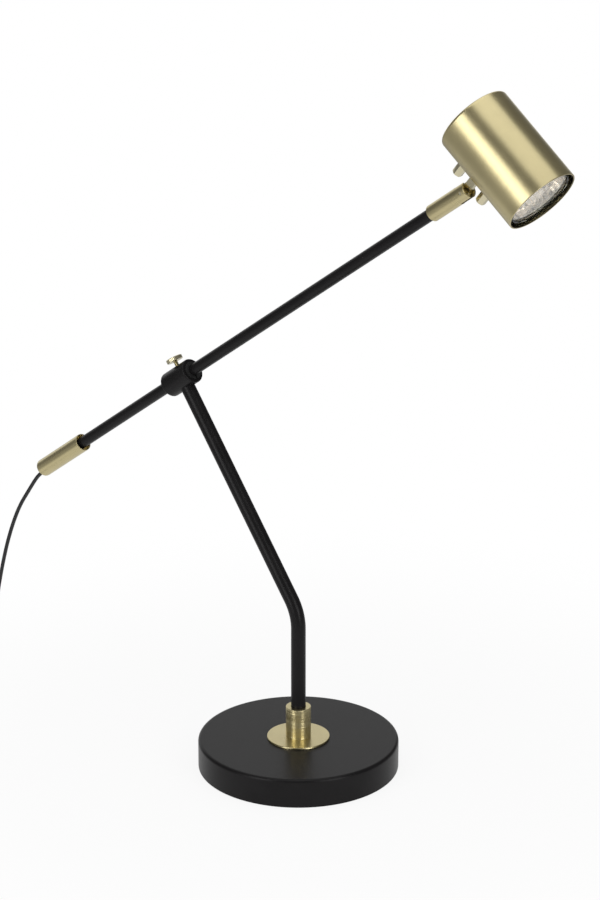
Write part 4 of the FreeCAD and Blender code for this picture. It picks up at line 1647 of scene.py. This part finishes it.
# ---- arm -----------------------------------------------------------------------------------------
@dataclass
class Arm:
    """The arm's tube, with the brass handle at its tail and the ferrule at its head end."""

    radius: float = 4.6 * MM
    wall: float = 1.0 * MM
    tube_from: float = -172.0 * MM
    tube_to: float = 318.5 * MM
    handle_from: float = 140.0 * MM
    handle_to: float = CordRoute.tail_length
    handle_radius: float = 7.35 * MM
    handle_end: float = 2.0 * MM
    mouth_radius: float = 6.5 * MM
    mouth_depth: float = 8.0 * MM
    mouth_edge: float = 0.35 * MM
    relief_bore: float = 5.05 * MM
    relief_inner: float = 178.5 * MM
    relief_radius: float = 5.0 * MM
    relief_sunk: float = 0.05 * MM
    relief_proud: float = CordRoute.relief_proud
    nose_root: float = 2.7 * MM
    nose_tip: float = 1.75 * MM
    nose_length: float = CordRoute.nose_length
    nose_offset: float = CordRoute.nose_offset

    def build(self, finishes: Finishes) -> None:
        """Spins the tube, the handle and the cord's relief.

        Args:
            finishes: the lamp's finishes.
        """
        inner = self.radius - self.wall
        tube_corners = [
            Corner(inner, self.tube_from),
            Corner(self.radius, self.tube_from, self.wall / 5),
            Corner(self.radius, self.tube_to, self.wall / 5),
            Corner(inner, self.tube_to),
        ]
        tube = Bench.turned("long_arm", Bench.outline(tube_corners, closed=True), ARM_AXIS, Fineness.TUBE)
        finish_piece(tube, finishes.black, "arm", ["arm_tube"])
        self._handle(finishes)
        self._relief(finishes)
        dress(finishes.jacket, "inner_lead")

    def _handle(self, finishes: Finishes) -> None:
        """Spins the handle with its open mouth and its rounded end.

        Args:
            finishes: the lamp's finishes.
        """
        corners = [
            Corner(self.mouth_radius, -self.handle_from, self.mouth_edge / 2),
            Corner(self.handle_radius, -self.handle_from, self.mouth_edge),
            Corner(self.handle_radius, -self.handle_to, self.handle_end),
            Corner(self.relief_bore, -self.handle_to, self.mouth_edge),
            Corner(self.relief_bore, -self.relief_inner),
            Corner(self.radius - self.wall, -self.relief_inner),
            Corner(self.radius - self.wall, self.tube_from),
            Corner(self.radius, self.tube_from),
            Corner(self.radius, -self.handle_from - self.mouth_depth),
            Corner(self.mouth_radius, -self.handle_from - self.mouth_depth),
        ]
        handle = Bench.turned("tail_handle", Bench.outline(corners, closed=True), ARM_AXIS)
        finish_piece(handle, finishes.arm_brass, "arm", ["counterweight_handle"])

    def _relief(self, finishes: Finishes) -> None:
        """Spins the grommet and the tapered nose that the cord leaves by.

        Args:
            finishes: the lamp's finishes.
        """
        face = -self.handle_to - self.relief_proud
        inner = -self.relief_inner - self.relief_sunk
        corners = [
            Corner(0.0, inner),
            Corner(self.relief_radius, inner, self.relief_proud / 2),
            Corner(self.relief_radius, face, self.relief_proud),
            Corner(0.0, face),
        ]
        grommet = Bench.turned("cord_relief", Bench.outline(corners), ARM_AXIS, Fineness.TUBE)
        offset = ARM_AXIS.origin + CordRoute.below() * self.nose_offset
        nose_corners = [
            Corner(0.0, face + self.relief_proud),
            Corner(self.nose_root, face + self.relief_proud),
            Corner(self.nose_tip, face - self.nose_length, self.relief_proud / 4),
            Corner(0.0, face - self.nose_length),
        ]
        nose = Bench.turned("relief_nose", Bench.outline(nose_corners), Axis(offset, ARM_WAY), Fineness.SMALL)
        relief = Bench.together([grommet, nose])
        finish_piece(relief, finishes.rubber, "cord_end", ["tail_relief"])


@dataclass
class Ferrule:
    """The slotted brass ferrule on the arm, with the hinge pin of the head."""

    radius: float = 6.45 * MM
    start: float = 306.5 * MM
    length: float = 40.5 * MM
    seat: float = 12.0 * MM
    web: float = 6.5 * MM
    arm_bore: float = Arm.radius + 0.01 * MM
    lead_bore: float = 3.35 * MM
    mouth_bore: float = 5.1 * MM
    edge: float = 0.4 * MM
    slot_half: float = 2.3 * MM
    slot_depth: float = 11.0 * MM
    pin_radius: float = 1.5 * MM
    pin_from_mouth: float = 4.5 * MM
    slot_edge: float = 0.15 * MM
    slot_angle: float = 60.0
    smooth_angle: float = 30.0

    def build(self, finishes: Finishes) -> None:
        """Spins the ferrule, saws its slot and drills it for the pin.

        Args:
            finishes: the lamp's finishes.
        """
        end = self.start + self.length
        seat_top = self.start + self.seat
        corners = [
            Corner(self.arm_bore, self.start, self.edge / 2),
            Corner(self.radius, self.start, self.edge),
            Corner(self.radius, end, self.edge),
            Corner(self.mouth_bore, end, self.edge / 2),
            Corner(self.mouth_bore, seat_top + self.web),
            Corner(self.lead_bore, seat_top + self.web),
            Corner(self.lead_bore, seat_top),
            Corner(self.arm_bore, seat_top),
        ]
        ferrule = Bench.turned("slotted_ferrule", Bench.outline(corners, closed=True), ARM_AXIS)
        place = ARM_AXIS.matrix()
        reach = self.radius * 2
        low = Vector((-reach, -self.slot_half, end - self.slot_depth))
        Bench.cut(ferrule, Bench.block(low, Vector((reach, self.slot_half, end + self.radius)), place))
        drill = Axis(place @ (UP * (end - self.pin_from_mouth)), ACROSS, UP).matrix()
        Bench.cut(ferrule, Bench.rod(self.pin_radius, -reach, reach, drill, Fineness.THREAD))
        Bench.soften(ferrule, self.slot_edge, 1, self.slot_angle)
        Bench.settled(ferrule, IN_PLACE, self.smooth_angle)
        finish_piece(ferrule, finishes.arm_brass, "arm", ["arm_ferrule"])
        dress(finishes.screw_brass, "tilt_pin", "tilt_washers")


# ---- head ----------------------------------------------------------------------------------------
@dataclass
class HeadJoint:
    """The plate under the head, with its tongue, spacers and cap nuts."""

    back: float = TONGUE_BACK
    face: float = 32.1 * MM
    thickness: float = 1.6 * MM
    width: float = 8.0 * MM
    length: float = 36.4 * MM
    edge: float = 0.35 * MM
    pin_reach: float = PIN_REACH
    tongue_half: float = 2.1 * MM
    tongue_side: float = 3.2 * MM
    eye: float = 4.0 * MM
    pin_hole: float = 1.55 * MM
    screw_spacing: float = 27.3 * MM
    nut_width: float = 7.0 * MM
    nut_height: float = 9.4 * MM
    nut_chamfer: float = 0.5 * MM
    nut_slope: float = 1.6
    stock: float = 1.2
    smooth_angle: float = 25.0

    def build(self, finishes: Finishes) -> None:
        """Builds the plate, the tongue and the nuts.

        Args:
            finishes: the lamp's finishes.
        """
        self._plate(finishes)
        self._tongue(finishes)
        self._nuts(finishes)
        dress(finishes.screw_brass, "plate_spacers")
        dress(finishes.zinc, "plate_screws")

    def _frame(self, height: float, along: float) -> Matrix:
        """Works out a place out of the head's side.

        Args:
            height: how far it is from the head's axis.
            along: how far it is along that axis.

        Returns:
            Its frame, with local Z square to the plate.
        """
        origin = HEAD_AXIS.matrix() @ Vector((height, 0.0, along))
        return Axis(origin, PLATE_WAY).matrix()

    def _plate(self, finishes: Finishes) -> None:
        """Draws a round face out into a strip with round ends, and raises it.

        Args:
            finishes: the lamp's finishes.
        """
        plate = Bench.disc("joint_plate", 64, self.width / 2)
        shift = (self.length - self.width) / 2
        Bench.pick_corners(plate, lambda number, place: place.x > 0)
        bpy.ops.transform.translate(value=(shift, 0.0, 0.0))
        Bench.pick_corners(plate, lambda number, place: place.x <= Bench.merge_reach)
        bpy.ops.transform.translate(value=(-shift, 0.0, 0.0))
        Bench.raise_face(plate, self.thickness, self.edge)
        Bench.settled(plate, self._frame(self.face - self.thickness, -self.back), self.smooth_angle)
        finish_piece(plate, finishes.screw_brass, "head", ["head_plate"])

    def _tongue(self, finishes: Finishes) -> None:
        """Joins a round eye to a flat bar, and drills it.

        Args:
            finishes: the lamp's finishes.
        """
        place = HEAD_AXIS.matrix()
        pin = place @ Vector((self.pin_reach, 0.0, -self.back))
        across = Axis(pin, ACROSS, UP).matrix()
        low = Vector((self.face, -self.tongue_half, -self.back - self.tongue_side))
        high = Vector((self.pin_reach, self.tongue_half, -self.back + self.tongue_side))
        tongue = Bench.block(low, high, place)
        tongue.name = tongue.data.name = "joint_tongue"
        Bench.cut(tongue, Bench.rod(self.eye, -self.tongue_half, self.tongue_half, across), Cut.JOINED)
        Bench.cut(tongue, Bench.rod(self.pin_hole, -self.eye, self.eye, across, Fineness.THREAD))
        Bench.soften(tongue, self.edge, 3, 60.0)
        Bench.settled(tongue, IN_PLACE)
        finish_piece(tongue, finishes.screw_brass, "head", ["swivel_tongue"])

    def _nuts(self, finishes: Finishes) -> None:
        """Draws up hexagons, turns their ends down and sets one on each screw.

        Args:
            finishes: the lamp's finishes.
        """
        both = Bench.together([self._nut(-self.screw_spacing / 2), self._nut(self.screw_spacing / 2)])
        both.name = both.data.name = "cap_nuts"
        finish_piece(both, finishes.screw_brass, "head", ["plate_nuts"])

    def _nut(self, along: float) -> bpy.types.Object:
        """Draws up a hexagon and turns its end down to a chamfer.

        Args:
            along: how far the nut is from the plate's middle.

        Returns:
            The nut, in its place.
        """
        place = self._frame(self.face, -self.back + along)
        corner = self.nut_width / 2 / math.cos(math.radians(30))
        nut = Bench.disc("cap_nut", 6, corner)
        Bench.raise_face(nut, self.nut_height)
        Bench.settled(nut, place)
        wide = corner * self.stock
        outline = Bench.outline([
            Corner(0.0, -self.nut_chamfer),
            Corner(wide, -self.nut_chamfer),
            Corner(wide, self.nut_height - self.nut_chamfer * self.nut_slope),
            Corner(corner - self.nut_chamfer, self.nut_height),
            Corner(0.0, self.nut_height),
        ])
        axis = Axis(place.translation, PLATE_WAY)
        Bench.cut(nut, Bench.turned("nut_turning", outline, axis, Fineness.LAMP), Cut.SHARED)
        Bench.soften(nut, self.nut_chamfer / 5, angle=35.0)
        return Bench.settled(nut, IN_PLACE, 30.0)


@dataclass
class HeadShell:
    """The brushed brass cylinder round the lamp."""

    radius: float = 28.5 * MM
    half: float = 40.0 * MM
    wall: float = 1.2 * MM
    edge: float = 2.0 * MM
    mouth_edge: float = 0.35 * MM

    def build(self, finishes: Finishes) -> None:
        """Spins the shell, closed behind and open in front.

        Args:
            finishes: the lamp's finishes.
        """
        inside = self.radius - self.wall
        corners = [
            Corner(0.0, -self.half),
            Corner(self.radius, -self.half, self.edge),
            Corner(self.radius, self.half, self.mouth_edge),
            Corner(inside, self.half, self.mouth_edge),
            Corner(inside, -self.half + self.wall, self.edge - self.wall),
            Corner(0.0, -self.half + self.wall),
        ]
        shell = Bench.turned("head_cylinder", Bench.outline(corners), HEAD_AXIS, Fineness.WIDE)
        finish_piece(shell, finishes.head_brass, "head", ["head_shell"])
        dress(finishes.zinc, "holder_bracket", "holder_screws", "lamp_pins")
        dress(finishes.ceramic, "lamp_holder")


@dataclass
class Lamp:
    """The reflector lamp in the head: pressed glass cup, facets, capsule and front glass."""

    radius: float = 25.0 * MM
    shoulder: float = -10.0 * MM
    face: float = 38.0 * MM
    rim: float = 4.0 * MM
    neck: float = 11.5 * MM
    neck_length: float = 8.0 * MM
    wall: float = 1.4 * MM
    bulge: float = 3.0 * MM
    floor: float = 9.0 * MM
    lens_step: float = 0.8 * MM
    lens_thickness: float = 2.2 * MM
    lens_flat: float = 0.9
    rim_edge: float = 0.4 * MM
    bowl_steps: int = 16
    rows: int = 7
    flats: int = 36
    facet_seam: float = 0.25 * MM
    facet_press: float = 0.3 * MM
    facet_hole: float = 6.2 * MM
    facet_gap: float = 0.12 * MM
    capsule: float = 4.5 * MM
    capsule_length: float = 19.0 * MM
    pinch_radius: float = 3.24 * MM
    pinch_height: float = 4.95 * MM
    swell_height: float = 7.2 * MM
    dome: float = 4.05 * MM
    dome_rounding: float = 3.6 * MM
    seal_radius: float = 0.9 * MM
    seal: float = 1.35 * MM

    def build(self, finishes: Finishes) -> None:
        """Builds the lamp's four pieces.

        Args:
            finishes: the lamp's finishes.
        """
        self._cup(finishes)
        self._facets(finishes)
        self._lens(finishes)
        self._capsule(finishes)

    def _bowl(self, wide: float, narrow: float, high: float, low: float, rows: int) -> list[Vector]:
        """The bowl's curve from its neck to its rim.

        Args:
            wide: radius at the rim.
            narrow: radius at the neck.
            high: height of the rim's foot.
            low: height of the neck's top.
            rows: how many straight pieces the curve has.

        Returns:
            Points with X as radius and Z as height, from the neck up.
        """
        points = []
        for step in range(rows + 1):
            share = step / rows
            swell = 4 * share * (1 - share) * self.bulge
            tilt = math.atan2(high - low, wide - narrow)
            radius = narrow + (wide - narrow) * share + swell * math.sin(tilt)
            points.append(Vector((radius, 0.0, low + (high - low) * share - swell * math.cos(tilt))))
        return points

    def _cup(self, finishes: Finishes) -> None:
        """Spins the pressed glass cup with its straight rim.

        Args:
            finishes: the lamp's finishes.
        """
        neck_top = self.shoulder + self.neck_length
        rim_foot = self.face - self.rim
        inner = self.radius - self.wall
        lip = self.rim_edge / 2
        foot = self.shoulder + self.floor
        outside = self._bowl(self.radius, self.neck, rim_foot, neck_top, self.bowl_steps)
        inside = self._bowl(inner, self.neck - self.wall, rim_foot, neck_top + self.wall, self.bowl_steps)
        points = [
            UP * self.shoulder,
            Vector((self.neck, 0.0, self.shoulder)),
            *outside,
            Vector((self.radius, 0.0, self.face - self.rim_edge)),
            Vector((self.radius - self.rim_edge, 0.0, self.face)),
            Vector((inner + lip, 0.0, self.face)),
            Vector((inner, 0.0, self.face - lip)),
            *reversed(inside),
            Vector((self.neck - self.wall, 0.0, foot)),
            UP * foot,
        ]
        cup = Bench.turned("lamp_cup", points, HEAD_AXIS, Fineness.LAMP)
        finish_piece(cup, finishes.rim_glass, "head", ["lamp_reflector"])

    def _facets(self, finishes: Finishes) -> None:
        """Spins the bowl in flats and presses each one in a little.

        Args:
            finishes: the lamp's finishes.
        """
        neck_top = self.shoulder + self.neck_length + self.wall
        rim_foot = self.face - self.rim
        inner = self.radius - self.wall - self.facet_gap
        curve = self._bowl(inner, self.facet_hole, rim_foot, neck_top, self.rows)
        facets = Bench.turned("lamp_facets", curve, HEAD_AXIS, self.flats)
        outward = facets.data.polygons[0].normal.dot(HEAD_AXIS.way) < 0
        Bench.pick(facets, lambda middle, normal: True)
        if outward:
            bpy.ops.mesh.flip_normals()
        bpy.ops.mesh.inset(thickness=self.facet_seam, depth=-self.facet_press, use_individual=True)
        bpy.ops.object.mode_set(mode="OBJECT")
        modifier = facets.modifiers.new("wall", "SOLIDIFY")
        modifier.thickness = self.facet_gap * 3
        modifier.offset = -1.0
        bpy.ops.object.modifier_apply(modifier="wall")
        for face in facets.data.polygons:
            face.use_smooth = False
        finish_piece(facets, finishes.mirror, "head", ["lamp_reflector"])

    def _lens(self, finishes: Finishes) -> None:
        """Spins the front glass, a little domed, with a soft edge.

        Args:
            finishes: the lamp's finishes.
        """
        top = self.face - self.lens_step
        edge = self.radius - self.wall - self.lens_step / 10
        corners = [
            Corner(0.0, top - self.lens_thickness),
            Corner(edge, top - self.lens_thickness, self.lens_step / 4),
            Corner(edge, top - self.lens_step / 2, self.lens_step / 2),
            Corner(edge * self.lens_flat, top - self.lens_step / 4, self.lens_step),
            Corner(0.0, top),
        ]
        lens = Bench.turned("front_glass", Bench.outline(corners), HEAD_AXIS, Fineness.LAMP)
        finish_piece(lens, finishes.glass, "head", ["lamp_lens"])

    def _capsule(self, finishes: Finishes) -> None:
        """Spins the glass capsule with its pinched foot and sealed tip.

        Args:
            finishes: the lamp's finishes.
        """
        low = self.shoulder + self.floor
        high = low + self.capsule_length
        radius = self.capsule
        corners = [
            Corner(0.0, low),
            Corner(self.pinch_radius, low, radius / 8),
            Corner(self.pinch_radius, low + self.pinch_height, radius / 4),
            Corner(radius, low + self.swell_height, radius / 3),
            Corner(radius, high - self.dome, self.dome_rounding),
            Corner(self.seal_radius, high - self.seal, radius / 8),
            Corner(0.0, high),
        ]
        capsule = Bench.turned("halogen_capsule", Bench.outline(corners), HEAD_AXIS, Fineness.SMALL)
        finish_piece(capsule, finishes.glass, "head", ["lamp_burner"])


# ---- the lamp ------------------------------------------------------------------------------------
def main() -> None:
    """Builds every sub-assembly in order."""
    logging.basicConfig(level=logging.INFO, format="%(message)s")
    finishes = Finishes()
    Studio().build()
    plastics = ["switch_base", "switch_cover", "switch_rocker", "plug_body"]
    Cord().build(finishes.jacket, [*plastics, "plug_pins", "coil_tie"])
    stand = (Base(), Collar(), Stem(), Sleeve(), Thumbscrew())
    balance = (Arm(), Ferrule(), HeadJoint(), HeadShell(), Lamp())
    for assembly in (*stand, *balance):
        assembly.build(finishes)
    dress(finishes.plastic, *plastics)
    dress(finishes.zinc, "plug_pins")
    dress(finishes.tie, "coil_tie")


if __name__ == "__main__":
    main()
